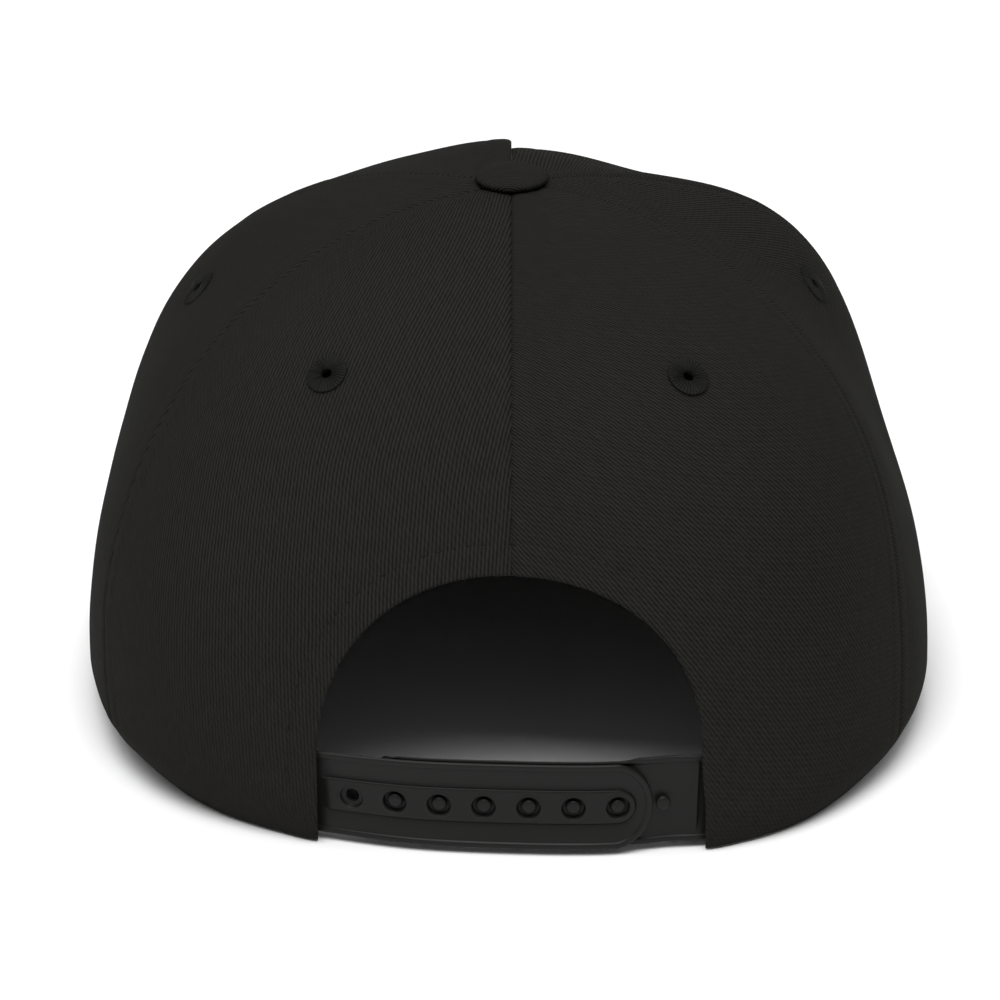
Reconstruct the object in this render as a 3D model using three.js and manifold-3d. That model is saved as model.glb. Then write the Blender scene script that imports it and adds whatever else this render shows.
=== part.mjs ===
// A six-panel flat-bill cap with a snap strap at the rear, resting on its rim and bill.
// Millimetres, +Z up. The bill points along -Y and the wearer's left is +X.
// The origin is the centre of the cap's own box, on the surface that the cap rests on.
import * as THREE from "three";
import { mergeVertices } from "three/addons/utils/BufferGeometryUtils.js";
import Module from "manifold-3d";

const wasm = await Module();
wasm.setup();

// Crown, measured over the outside of the cloth
const HALF_WIDTH = 92;
const REAR_DEPTH = 99.5;
const FRONT_DEPTH = 95;
const CROWN_HEIGHT = 116.4;
const WIDEST_HEIGHT = 11;
const WALL = 2;
const SEAM_GAP = 0.3;
// The rim's plan is an ellipse at power 2 and squarer above it.
const PLAN_POWER = { rear: 2.8, front: 2 };
// The same for the profile from the button down to the rim.
const PROFILE_POWER = { rear: 3, side: 2.4, front: 2.45 };
const APEX_BEHIND_MIDDLE = 3.3;
const RIM_PULLED_IN = 0.056;
const REAR_SKEW = -0.064;
// Places on the crown: turn is the angle round from the rear seam towards +X, in degrees,
// and fall goes from 0 at the button to 1 at the widest level.
const FALL_TOP = 0.02;
const FALL_RIM = 1.15;
const SWELL_TURN = 24;
const SWELL_FALL = 0.2;
const SWELLS = [
  { where: "rear left corner", turn: 45, fall: 0.85, out: 3.3 },
  { where: "rear right corner", turn: -45, fall: 0.85, out: -3.5 },
  { where: "left shoulder", turn: 98, fall: 0.45, out: 3.3 },
  { where: "left flank", turn: 92, fall: 0.68, out: -0.9 },
  { where: "right shoulder", turn: -78, fall: 0.45, out: -2.9 },
  { where: "right flank", turn: -92, fall: 0.68, out: -4.5 },
  { where: "right front shoulder", turn: -118, fall: 0.5, out: 4.2 },
  { where: "front right top", turn: -140, fall: 0.35, out: -3.2 },
  { where: "front left top", turn: 140, fall: 0.35, out: -1.2 },
  { where: "front top", turn: 180, fall: 0.45, out: -2.4 },
];
// The front left panel stands proud of its neighbour along the front seam.
const FRONT_STEP = { height: 2, turn: 40, begins: 0.1, full: 0.2, fades: 0.4, ends: 0.75 };

// Seams, as turns at the button and at the rim
const SEAMS = {
  rear: { button: 0, rim: 0 },
  rearLeft: { button: 60, rim: 58.5 },
  frontLeft: { button: 112, rim: 118 },
  front: { button: 180, rim: 180 },
  frontRight: { button: 249, rim: 242 },
  rearRight: { button: 290, rim: 303 },
  rearAgain: { button: 360, rim: 360 },
};
const PANELS = [
  { name: "crown_rear_left", from: "rear", to: "rearLeft", columns: 14, arch: 1 },
  { name: "crown_side_left", from: "rearLeft", to: "frontLeft", columns: 8 },
  { name: "crown_front_left", from: "frontLeft", to: "front", columns: 9 },
  { name: "crown_front_right", from: "front", to: "frontRight", columns: 9 },
  { name: "crown_side_right", from: "frontRight", to: "rearRight", columns: 8 },
  { name: "crown_rear_right", from: "rearRight", to: "rearAgain", columns: 14, arch: -1 },
];
const PANEL_ROWS = 15;

// Rear arch, as seen from straight behind
const ARCH = { halfWidth: 41, top: 63.3, springs: 20, power: 2.15 };
const ARCH_SHARE = 0.56;
const ARCH_CROWN_SHARE = 0.8;
// Where the arch's edge is looked for, and how often the search is halved
const ARCH_WITHIN_TURN = 45;
const ARCH_BELOW_FALL = 0.3;
const HALVINGS = 24;

// Eyelets
const EYELET_RADIUS = 4.5;
const EYELET_BORE = 1.15;
const EYELET_PROUD = 0.45;
const EYELET_SECTION = { sides: 8, fullness: 0.7 };
const EYELETS = [
  { side: "rear_left", turn: 30, fall: 0.475 },
  { side: "rear_right", turn: -29, fall: 0.468 },
  { side: "side_left", turn: 84, fall: 0.48 },
  { side: "side_right", turn: -95, fall: 0.49 },
  { side: "front_left", turn: 147, fall: 0.48 },
  { side: "front_right", turn: -145, fall: 0.48 },
];

// Button
const BUTTON = { radius: 8, height: 3, rim: 1.1, edge: 0.5, stemRadius: 2.3, stemDepth: 3, steps: 6 };

// Bill
const BILL_THICKNESS = 4;
const BILL_LENGTH = 68;
const BILL_HALF_WIDTH = 88;
const BILL_WIDEST_Y = -76;
const BILL_EDGE = 0.8;
const BILL_TURN = 118;
const BILL_UNDER_WALL = WALL + 0.5;
const RIM_RISE_TURN = 12;
const BILL_BEND = { out: 6, along: 9, side: 16, shoulder: 50, tip: 56 };
const BILL_COLUMNS = 44;
const BILL_ROWS = 5;

// Sweatband
const BAND = { thickness: 1.2, top: 0.86, bottom: 1.13, turn: 27, besideStrap: 4.1, columns: 60, rows: 5 };
const BAND_EASES = { from: 38, to: 52 };

// Snap strap: lengths run along the strap from the middle of the rear, positive to the left
const STRAP = {
  top: 0.936,
  bottom: 1.13,
  thickness: 1.2,
  clear: 0.3,
  behindPanel: 0.9,
  columnLength: 4,
  turnStep: 0.25,
};
const STRAP_HALF_HEIGHT = 9.75;
const STRAP_END = { round: 7.8, left: 50, right: -50 };
const SNAP_PITCH = 9.5;
const FIRST_HOLE = 34.4;
const HOLES = 7;
const HOLE = { bore: 1.65, sink: 2.6, sinkDepth: 0.5 };
const PEG = { radius: 1.25, head: 1.4, headHeight: 0.3, proud: 0.5 };
// How far each strap goes on past the middle of its last hole or peg
const PAST_LAST_HOLE = 7;
const PAST_LAST_PEG = 6;
const CUTTER_DEPTH = 20;
const INNER_STRAP_EASES = { from: -44, to: -33 };
const ROUND_SIDES = 14;

const radians = THREE.MathUtils.degToRad;

function smooth(value, from, to) {
  const t = THREE.MathUtils.clamp((value - from) / (to - from), 0, 1);
  return t * t * (3 - 2 * t);
}

// The turn as the shortest way round from another turn, from -180 to 180.
function turnBetween(turn, other) {
  return THREE.MathUtils.euclideanModulo(turn - other + 180, 360) - 180;
}

function planRadius(turn, squareness) {
  const along = Math.cos(radians(turn));
  const rear = along >= 0;
  const depth = rear ? REAR_DEPTH : FRONT_DEPTH;
  const power = 2 + ((rear ? PLAN_POWER.rear : PLAN_POWER.front) - 2) * squareness;
  const across = Math.abs(Math.sin(radians(turn))) / HALF_WIDTH;
  return (across ** power + (Math.abs(along) / depth) ** power) ** (-1 / power);
}

function swell(turn, fall) {
  const total = SWELLS.reduce((sum, row) => {
    const round = turnBetween(turn, row.turn) / SWELL_TURN;
    const down = (fall - row.fall) / SWELL_FALL;
    return sum + row.out * Math.exp(-round * round - down * down);
  }, 0);
  return total * Math.min(fall / SWELL_FALL, 1);
}

function frontStep(turn, fall) {
  const fromSeam = -turnBetween(turn, 180);
  if (fromSeam < 0) return 0;
  const near = Math.exp(-((fromSeam / FRONT_STEP.turn) ** 2));
  const rise = smooth(fall, FRONT_STEP.begins, FRONT_STEP.full);
  return FRONT_STEP.height * near * rise * (1 - smooth(fall, FRONT_STEP.fades, FRONT_STEP.ends));
}

// How high the rim stands: on the resting surface, and over the bill at the front.
function rimHeight(turn) {
  const fromRear = Math.abs(turnBetween(turn, 0));
  return (BILL_THICKNESS + SEAM_GAP) * smooth(fromRear, BILL_TURN - RIM_RISE_TURN, BILL_TURN);
}

// A point on the outside of the crown. The front left panel takes the step at the front seam.
function crownPoint(turn, fall, stepped = true) {
  const sine = Math.sin(radians(turn));
  const cosine = Math.cos(radians(turn));
  const rearness = Math.max(cosine, 0) ** 2;
  const frontness = Math.max(-cosine, 0) ** 2;
  const power =
    PROFILE_POWER.side +
    (PROFILE_POWER.rear - PROFILE_POWER.side) * rearness +
    (PROFILE_POWER.front - PROFILE_POWER.side) * frontness;
  const lean = Math.min(fall, 1) * (Math.PI / 2);
  const reach = (Math.sin(lean) ** power + Math.max(Math.cos(lean), 0) ** power) ** (-1 / power);
  const out = reach * Math.sin(lean);
  const up = reach * Math.max(Math.cos(lean), 0);
  const low = THREE.MathUtils.clamp((fall - 1) / (FALL_RIM - 1), 0, 1);
  const grown = swell(turn, fall);
  const radius = planRadius(turn, out * out) * out * (1 - RIM_PULLED_IN * low * low);
  const wide = radius + grown * Math.sin(lean);
  const skew = 1 + REAR_SKEW * sine * Math.max(cosine, 0);
  const height =
    WIDEST_HEIGHT * (1 - low) +
    rimHeight(turn) * low +
    (CROWN_HEIGHT - WIDEST_HEIGHT) * up +
    grown * Math.cos(lean) +
    (stepped ? frontStep(turn, fall) : 0);
  return new THREE.Vector3(
    wide * sine,
    wide * cosine * skew + APEX_BEHIND_MIDDLE * (1 - out),
    height,
  );
}

function crownNormal(turn, fall, stepped) {
  const step = { turn: 0.5, fall: 0.004 };
  const high = Math.min(fall + step.fall, FALL_RIM);
  const across = crownPoint(turn + step.turn, fall, stepped);
  across.sub(crownPoint(turn - step.turn, fall, stepped));
  const down = crownPoint(turn, high, stepped).sub(crownPoint(turn, high - 2 * step.fall, stepped));
  return across.cross(down).normalize();
}

// A point under the crown's outside, at a depth into the cloth.
function wallPoint(turn, fall, depth, stepped) {
  return crownPoint(turn, fall, stepped).addScaledVector(crownNormal(turn, fall, stepped), -depth);
}

// A closed wall over a grid of columns and rows. pointAt gives the outer skin at side 0 and
// the inner skin at side 1.
function wallGeometry(columns, rows, pointAt) {
  const positions = [];
  for (let side = 0; side < 2; side++) {
    for (let row = 0; row <= rows; row++) {
      for (let column = 0; column <= columns; column++) {
        positions.push(...pointAt(column / columns, row / rows, side).toArray());
      }
    }
  }
  const at = (column, row, side) => (side * (rows + 1) + row) * (columns + 1) + column;
  const faces = [];
  const quad = (a, b, c, d) => faces.push(a, c, b, a, d, c);
  for (let row = 0; row < rows; row++) {
    for (let column = 0; column < columns; column++) {
      const corners = [
        [column, row],
        [column, row + 1],
        [column + 1, row + 1],
        [column + 1, row],
      ];
      quad(...corners.map(([c, r]) => at(c, r, 0)));
      quad(...corners.reverse().map(([c, r]) => at(c, r, 1)));
    }
  }
  for (let row = 0; row < rows; row++) {
    quad(at(0, row, 1), at(0, row + 1, 1), at(0, row + 1, 0), at(0, row, 0));
    quad(at(columns, row, 0), at(columns, row + 1, 0), at(columns, row + 1, 1), at(columns, row, 1));
  }
  for (let column = 0; column < columns; column++) {
    quad(at(column, 0, 0), at(column + 1, 0, 0), at(column + 1, 0, 1), at(column, 0, 1));
    quad(at(column, rows, 1), at(column + 1, rows, 1), at(column + 1, rows, 0), at(column, rows, 0));
  }
  const geometry = new THREE.BufferGeometry();
  geometry.setAttribute("position", new THREE.Float32BufferAttribute(positions, 3));
  geometry.setIndex(faces);
  return geometry;
}

function solidOf(geometry) {
  const bare = geometry.clone();
  bare.deleteAttribute("normal");
  bare.deleteAttribute("uv");
  const merged = mergeVertices(bare, 1e-4);
  return new wasm.Manifold(
    new wasm.Mesh({
      numProp: 3,
      vertProperties: new Float32Array(merged.attributes.position.array),
      triVerts: new Uint32Array(merged.index.array),
    }),
  );
}

function geometryOf(solid) {
  const mesh = solid.getMesh();
  const geometry = new THREE.BufferGeometry();
  geometry.setAttribute("position", new THREE.BufferAttribute(mesh.vertProperties, 3));
  geometry.setIndex(new THREE.BufferAttribute(mesh.triVerts, 1));
  return geometry;
}

// Half of the arch's edge and the rim beside it, from the top of the arch to the side seam,
// as turn and fall. The turn is that of the left half.
function rearEdge(share, side, seamAtRim) {
  if (share >= ARCH_SHARE) {
    const corner = archTurn(0, side);
    const past = (share - ARCH_SHARE) / (1 - ARCH_SHARE);
    return { turn: corner + (seamAtRim - corner) * past, fall: FALL_RIM };
  }
  const along = share / ARCH_SHARE;
  if (along > ARCH_CROWN_SHARE) {
    const height = (ARCH.springs * (1 - along)) / (1 - ARCH_CROWN_SHARE);
    return { turn: archTurn(height, side), fall: fallAt(height, archTurn(height, side) * side) };
  }
  const angle = ((along / ARCH_CROWN_SHARE) * Math.PI) / 2;
  const rise = Math.cos(angle) ** (2 / ARCH.power);
  const height = ARCH.springs + (ARCH.top - ARCH.springs) * rise;
  const turn = archTurn(height, side);
  return { turn, fall: fallAt(height, turn * side) };
}

function archHalfWidth(height) {
  const rise = Math.max(height - ARCH.springs, 0) / (ARCH.top - ARCH.springs);
  return ARCH.halfWidth * Math.max(1 - rise ** ARCH.power, 0) ** (1 / ARCH.power);
}

// The turn, and the fall, at which the crown has a given place seen from behind.
function archTurn(height, side) {
  const target = archHalfWidth(height);
  let low = 0;
  let high = ARCH_WITHIN_TURN;
  for (let pass = 0; pass < HALVINGS; pass++) {
    const middle = (low + high) / 2;
    const x = Math.abs(crownPoint(middle * side, fallAt(height, middle * side)).x);
    if (x < target) low = middle;
    else high = middle;
  }
  return low;
}

function fallAt(height, turn) {
  let low = ARCH_BELOW_FALL;
  let high = FALL_RIM;
  for (let pass = 0; pass < HALVINGS; pass++) {
    const middle = (low + high) / 2;
    if (crownPoint(turn, middle).z > height) low = middle;
    else high = middle;
  }
  return high;
}

function seamTurn(seam, fall) {
  return seam.button + (seam.rim - seam.button) * (fall / FALL_RIM);
}

// The turn moved into the panel by half the seam's gap.
function inset(turn, fall, direction) {
  const radius = Math.max(Math.hypot(crownPoint(turn, fall).x, crownPoint(turn, fall).y), 1);
  return turn + (direction * THREE.MathUtils.radToDeg(SEAM_GAP / 2)) / radius;
}

function plainPanelPlace(panel, across, down) {
  const fall = FALL_TOP + (FALL_RIM - FALL_TOP) * down;
  const from = inset(seamTurn(SEAMS[panel.from], fall), fall, 1);
  const to = inset(seamTurn(SEAMS[panel.to], fall), fall, -1);
  return { turn: from + (to - from) * across, fall };
}

// On a rear panel the columns fan out from the button to the arch and the rim beside it.
function rearPanelPlace(panel, across, down) {
  const share = panel.arch > 0 ? across : 1 - across;
  const seam = panel.arch > 0 ? SEAMS.rearLeft : SEAMS.rearRight;
  const away = (turn) => (panel.arch > 0 ? turn : 360 - turn);
  const end = rearEdge(share, panel.arch, away(seam.rim));
  const fall = FALL_TOP + (end.fall - FALL_TOP) * down;
  const straight = away(seamTurn(seam, fall)) * share;
  const turn = straight + (end.turn - away(seam.rim) * share) * down ** 2;
  const gap = THREE.MathUtils.radToDeg(SEAM_GAP / 2) / Math.max(HALF_WIDTH * Math.min(fall, 1), 1);
  const kept = turn + gap * (1 - 2 * share);
  return { turn: away(kept), fall };
}

function eyeletFrame(eyelet) {
  const normal = crownNormal(eyelet.turn, eyelet.fall);
  const turned = new THREE.Quaternion().setFromUnitVectors(new THREE.Vector3(0, 1, 0), normal);
  const centre = wallPoint(eyelet.turn, eyelet.fall, WALL / 2);
  return new THREE.Matrix4().compose(centre, turned, new THREE.Vector3(1, 1, 1));
}

function eyeletHole(eyelet) {
  const radius = EYELET_RADIUS + SEAM_GAP;
  const drill = new THREE.CylinderGeometry(radius, radius, 6 * WALL, ROUND_SIDES);
  return solidOf(drill.applyMatrix4(eyeletFrame(eyelet)));
}

function panelGeometry(panel) {
  const place = panel.arch ? rearPanelPlace : plainPanelPlace;
  const stepped = panel.name !== "crown_front_right";
  const wall = wallGeometry(panel.columns, PANEL_ROWS, (across, down, side) => {
    const { turn, fall } = place(panel, across, down);
    return wallPoint(turn, fall, side * WALL, stepped);
  });
  const eyelet = EYELETS.find((row) => panel.name.endsWith(row.side));
  return geometryOf(solidOf(wall).subtract(eyeletHole(eyelet)));
}

// A ring with rounded edges, worked in thread round the hole in the cloth.
function eyeletGeometry(eyelet) {
  const middle = (EYELET_RADIUS + EYELET_BORE) / 2;
  const halfWidth = (EYELET_RADIUS - EYELET_BORE) / 2;
  const halfThickness = WALL / 2 + EYELET_PROUD;
  const profile = [];
  const { sides, fullness } = EYELET_SECTION;
  const soft = (value) => Math.sign(value) * Math.abs(value) ** fullness;
  for (let i = 0; i <= sides; i++) {
    const angle = -(i * 2 * Math.PI) / sides;
    profile.push(
      new THREE.Vector2(middle + halfWidth * soft(Math.cos(angle)), -halfThickness * soft(Math.sin(angle))),
    );
  }
  profile[sides].copy(profile[0]);
  const ring = new THREE.LatheGeometry(profile, ROUND_SIDES);
  return ring.applyMatrix4(eyeletFrame(eyelet));
}

// A low dome over the meeting of the seams, with a stem down through the crown.
function buttonGeometry() {
  const profile = [
    [0, -BUTTON.stemDepth],
    [BUTTON.stemRadius, -BUTTON.stemDepth],
    [BUTTON.stemRadius, 0],
    [BUTTON.radius - BUTTON.edge, 0],
  ].map(([radius, height]) => new THREE.Vector2(radius, height));
  for (let i = 0; i <= BUTTON.steps; i++) {
    const angle = (i / BUTTON.steps) * (Math.PI / 2);
    const radius = BUTTON.radius * Math.cos(angle);
    profile.push(new THREE.Vector2(radius, BUTTON.rim + (BUTTON.height - BUTTON.rim) * Math.sin(angle)));
  }
  profile[profile.length - 1].x = 0;
  const turned = new THREE.LatheGeometry(profile, 2 * ROUND_SIDES).rotateX(Math.PI / 2);
  return turned.translate(0, APEX_BEHIND_MIDDLE, CROWN_HEIGHT + SEAM_GAP);
}

// The bill's outer edge from its left corner at the crown, round its front, to the right one.
function billEdge() {
  const corner = crownPoint(BILL_TURN, FALL_RIM, false);
  const front = crownPoint(180, FALL_RIM, false).y - BILL_LENGTH;
  const edge = new THREE.CurvePath();
  const bends = [
    [corner.x, corner.y],
    [corner.x + BILL_BEND.out, corner.y - BILL_BEND.along],
    [BILL_HALF_WIDTH, BILL_WIDEST_Y + BILL_BEND.side],
    [BILL_HALF_WIDTH, BILL_WIDEST_Y],
    [BILL_HALF_WIDTH, BILL_WIDEST_Y - BILL_BEND.shoulder],
    [BILL_BEND.tip, front],
    [0, front],
  ].map(([x, y]) => new THREE.Vector3(x, y, 0));
  const mirrored = bends.map((point) => new THREE.Vector3(-point.x, point.y, 0)).reverse();
  edge.add(new THREE.CubicBezierCurve3(...bends.slice(0, 4)));
  edge.add(new THREE.CubicBezierCurve3(...bends.slice(3)));
  edge.add(new THREE.CubicBezierCurve3(...mirrored.slice(0, 4)));
  edge.add(new THREE.CubicBezierCurve3(...mirrored.slice(3)));
  return edge;
}

// A flat plate. Its inner edge lies under the crown's front wall, and its last two rows
// round off the outer edge.
function billGeometry() {
  const edge = billEdge();
  return wallGeometry(BILL_COLUMNS, BILL_ROWS, (across, down, side) => {
    const turn = BILL_TURN + (360 - 2 * BILL_TURN) * across;
    const inner = wallPoint(turn, FALL_RIM, BILL_UNDER_WALL, false).setZ(0);
    const outer = edge.getPoint(across);
    const atEdge = down === 1;
    const inward = inner.clone().sub(outer).setLength(BILL_EDGE);
    const reach = Math.min((down * BILL_ROWS) / (BILL_ROWS - 1), 1);
    const place = inner.lerp(atEdge ? outer : outer.add(inward), reach);
    const eased = atEdge ? BILL_EDGE : 0;
    return place.setZ(side === 0 ? BILL_THICKNESS - eased : eased);
  });
}

// The band lies inside the crown, and stands clear of the strap's ends beside the arch.
function bandGeometry() {
  return wallGeometry(BAND.columns, BAND.rows, (across, down, side) => {
    const turn = BAND.turn + (360 - 2 * BAND.turn) * across;
    const fall = BAND.top + (BAND.bottom - BAND.top) * down;
    const besideStrap = 1 - smooth(Math.abs(turnBetween(turn, 0)), BAND_EASES.from, BAND_EASES.to);
    const clear = STRAP.behindPanel + BAND.besideStrap * besideStrap;
    return wallPoint(turn, fall, WALL + clear + side * BAND.thickness, false);
  });
}

function strapMiddle(turn) {
  return crownPoint(turn, STRAP.bottom).lerp(crownPoint(turn, STRAP.top), 0.5);
}

function turnAlong(length) {
  const step = STRAP.turnStep * Math.sign(length);
  let turn = 0;
  let left = Math.abs(length);
  while (left > 0) {
    const stride = strapMiddle(turn).distanceTo(strapMiddle(turn + step));
    turn += step * Math.min(left / stride, 1);
    left -= stride;
  }
  return turn;
}

// The strap leans as the rim does: its lower edge lies further in.
function strapFrame(length) {
  const turn = turnAlong(length);
  const low = crownPoint(turn, STRAP.bottom);
  const high = crownPoint(turn, STRAP.top);
  const rightward = strapMiddle(turn - 0.5).sub(strapMiddle(turn + 0.5)).normalize();
  const upward = high.clone().sub(low).normalize();
  return { low, high, rightward, upward, outward: rightward.clone().cross(upward) };
}

function strapPoint(length, up, depth) {
  const { low, high, outward } = strapFrame(length);
  return low.lerp(high, up).addScaledVector(outward, -depth);
}

function outerStrapDepth() {
  return WALL + STRAP.behindPanel;
}

// Under the outer strap from its free end on, and close under the right panel.
function innerStrapDepth(length) {
  const under = smooth(length, INNER_STRAP_EASES.from, INNER_STRAP_EASES.to);
  return WALL + STRAP.behindPanel + (STRAP.thickness + STRAP.clear) * under;
}

function strapBand(from, to, depthAt) {
  const columns = Math.round(Math.abs(to - from) / STRAP.columnLength);
  return wallGeometry(columns, 2, (across, down, side) => {
    const length = from + (to - from) * across;
    return strapPoint(length, 1 - down, depthAt(length) + side * STRAP.thickness);
  });
}

// A frame on the strap's outer face: X along it to the right, Y up it and Z out of it.
function strapMatrix(length, depth) {
  const { rightward, upward, outward } = strapFrame(length);
  const basis = new THREE.Matrix4().makeBasis(rightward, upward, outward);
  return basis.setPosition(strapPoint(length, 0.5, depth));
}

// What is cut away beyond a strap's rounded end, which points right if way is 1.
function roundedEndCutter(endLength, way, depth) {
  const far = 3 * STRAP_HALF_HEIGHT;
  const shape = new THREE.Shape();
  shape.moveTo(0, far);
  shape.lineTo(0, STRAP_HALF_HEIGHT);
  shape.absellipse(0, 0, STRAP_END.round, STRAP_HALF_HEIGHT, Math.PI / 2, -Math.PI / 2, true, 0);
  shape.lineTo(0, -far);
  shape.lineTo(far, -far);
  shape.lineTo(far, far);
  const solid = { depth: CUTTER_DEPTH, bevelEnabled: false, curveSegments: 12 };
  const prism = new THREE.ExtrudeGeometry(shape, solid);
  prism.translate(0, 0, -CUTTER_DEPTH / 2);
  if (way < 0) prism.rotateZ(Math.PI);
  const start = endLength + way * STRAP_END.round;
  return solidOf(prism.applyMatrix4(strapMatrix(start, depth)));
}

// A turned shape on the strap, from pairs of radius and height out of its face.
function turnedOnStrap(pairs, length, depth) {
  const profile = pairs.map(([radius, height]) => new THREE.Vector2(radius, height));
  const turned = new THREE.LatheGeometry(profile, ROUND_SIDES).rotateX(Math.PI / 2);
  return solidOf(turned.applyMatrix4(strapMatrix(length, depth)));
}

function holedStrapGeometry() {
  const depth = outerStrapDepth();
  const freeEnd = FIRST_HOLE - (HOLES - 1) * SNAP_PITCH - PAST_LAST_HOLE;
  let strap = solidOf(strapBand(freeEnd, STRAP_END.left, outerStrapDepth));
  strap = strap.subtract(roundedEndCutter(freeEnd, 1, depth));
  for (let hole = 0; hole < HOLES; hole++) {
    const drill = [
      [0, -3],
      [HOLE.bore, -3],
      [HOLE.bore, -HOLE.sinkDepth],
      [HOLE.sink, 0.1],
      [HOLE.sink, 2],
      [0, 2],
    ];
    strap = strap.subtract(turnedOnStrap(drill, FIRST_HOLE - hole * SNAP_PITCH, depth));
  }
  return geometryOf(strap);
}

function peggedStrapGeometry() {
  const freeEnd = FIRST_HOLE - SNAP_PITCH + PAST_LAST_PEG;
  let strap = solidOf(strapBand(STRAP_END.right, freeEnd, innerStrapDepth));
  strap = strap.subtract(roundedEndCutter(freeEnd, -1, innerStrapDepth(freeEnd)));
  const through = STRAP.thickness + STRAP.clear;
  const peg = [
    [0, -STRAP.thickness / 2],
    [PEG.radius, -STRAP.thickness / 2],
    [PEG.radius, through - PEG.headHeight],
    [PEG.head, through],
    [PEG.head * 0.8, through + PEG.proud * 0.7],
    [0, through + PEG.proud],
  ];
  for (let hole = 1; hole <= HOLES; hole++) {
    const length = FIRST_HOLE - hole * SNAP_PITCH;
    strap = strap.add(turnedOnStrap(peg, length, innerStrapDepth(length)));
  }
  return geometryOf(strap);
}

function finish(colour, roughness) {
  return new THREE.MeshStandardMaterial({ color: colour, roughness, metalness: 0 });
}

const cap = new THREE.Group();

function add(name, geometry, material) {
  const mesh = new THREE.Mesh(geometry, material);
  mesh.name = name;
  cap.add(mesh);
}

const twill = finish(0x282725, 0.85);
const thread = finish(0x242322, 0.75);
const band = finish(0x202020, 0.8);
const plastic = finish(0x2b2a29, 0.5);

PANELS.forEach((panel) => add(panel.name, panelGeometry(panel), twill));
EYELETS.forEach((eyelet) => add(`eyelet_${eyelet.side}`, eyeletGeometry(eyelet), thread));
add("crown_button", buttonGeometry(), twill);
add("bill", billGeometry(), twill);
add("sweatband", bandGeometry(), band);
add("strap_with_holes", holedStrapGeometry(), plastic);
add("strap_with_pegs", peggedStrapGeometry(), plastic);

// The cap's own box is centred on the origin, in plan.
const box = new THREE.Box3().setFromObject(cap);
cap.position.set(-(box.min.x + box.max.x) / 2, -(box.min.y + box.max.y) / 2, -box.min.z);

export default cap;
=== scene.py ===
"""Looks of a flat bill cap: twill panels, stitching, bill, band and snap strap.

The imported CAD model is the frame, and every piece here stands for one of its nodes or lies
on one. Lengths in the classes are millimetres, and the meshes are in metres.
"""

import logging
import math
from dataclasses import dataclass, field
from enum import Enum

import bpy
import numpy as np
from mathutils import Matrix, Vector


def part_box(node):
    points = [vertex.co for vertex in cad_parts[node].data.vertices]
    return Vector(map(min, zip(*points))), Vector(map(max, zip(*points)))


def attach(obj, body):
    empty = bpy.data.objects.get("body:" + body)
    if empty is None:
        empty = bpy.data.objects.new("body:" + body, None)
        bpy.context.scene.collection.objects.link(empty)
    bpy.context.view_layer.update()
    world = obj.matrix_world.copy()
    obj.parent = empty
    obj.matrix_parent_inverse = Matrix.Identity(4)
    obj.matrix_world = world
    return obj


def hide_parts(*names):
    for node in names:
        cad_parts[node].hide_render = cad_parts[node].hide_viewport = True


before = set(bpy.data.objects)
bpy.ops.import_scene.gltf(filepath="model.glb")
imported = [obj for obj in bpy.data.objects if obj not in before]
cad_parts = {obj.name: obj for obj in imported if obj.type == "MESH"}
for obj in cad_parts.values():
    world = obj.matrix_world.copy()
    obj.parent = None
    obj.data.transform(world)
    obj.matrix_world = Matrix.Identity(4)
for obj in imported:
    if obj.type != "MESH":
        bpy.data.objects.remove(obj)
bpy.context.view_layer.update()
log = logging.getLogger("flat_bill_cap")

MM = 0.001
ROOT = "root"
WEAVE = "weave"
Array = np.ndarray


def linear(hex_colour: str) -> tuple[float, float, float, float]:
    """Turn an sRGB hex colour into the linear colour that a node takes.

    Args:
        hex_colour: six hex digits after a hash sign.

    Returns:
        Red, green, blue and alpha, linear.
    """
    parts = [int(hex_colour[i : i + 2], 16) / 255 for i in (1, 3, 5)]
    lin = [c / 12.92 if c <= 0.04045 else ((c + 0.055) / 1.055) ** 2.4 for c in parts]
    return (*lin, 1.0)


def smooth(value: Array | float, start: float, end: float) -> Array:
    """Ease from 0 at start to 1 at end.

    Args:
        value: where to read the ease.
        start: value at which it leaves 0.
        end: value at which it reaches 1.

    Returns:
        The eased share, in the shape of value.
    """
    t = np.clip((np.asarray(value, float) - start) / (end - start), 0, 1)
    return t * t * (3 - 2 * t)


def unit(vectors: Array) -> Array:
    """Scale vectors, which lie along the last axis, to length 1."""
    return vectors / np.linalg.norm(vectors, axis=-1, keepdims=True)


def bump_at(value: Array, middle: float, width: float) -> Array:
    """A bell of height 1 at middle, which falls off within width."""
    return np.exp(-(((value - middle) / width) ** 2))


def lengths_along(line: Array) -> Array:
    """Distance along a polyline at each of its points, from 0."""
    steps = np.linalg.norm(np.diff(line, axis=0), axis=1)
    return np.concatenate([[0.0], np.cumsum(steps)])


def nearest(points: Array, line: Array) -> tuple[Array, Array]:
    """Measure how far points are from a polyline.

    Args:
        points: n points, n by 3.
        line: m points of the polyline, m by 3.

    Returns:
        The distance of each point, and how far along the line its nearest place is.
    """
    along = lengths_along(line)
    starts, steps = line[:-1], np.diff(line, axis=0)
    squares = np.maximum((steps**2).sum(1), 1e-12)
    best = np.full(len(points), np.inf)
    place = np.zeros(len(points))
    for first in range(0, len(points), 2000):
        part = points[first : first + 2000]
        share = np.clip(
            ((part[:, None] - starts) * steps).sum(2) / squares,
            0,
            1,
        )
        gaps = np.linalg.norm(part[:, None] - starts - share[..., None] * steps, axis=2)
        pick = gaps.argmin(1)
        rows = np.arange(len(part))
        best[first : first + 2000] = gaps[rows, pick]
        place[first : first + 2000] = along[pick] + share[rows, pick] * np.sqrt(
            squares[pick]
        )
    return best, place


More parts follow.
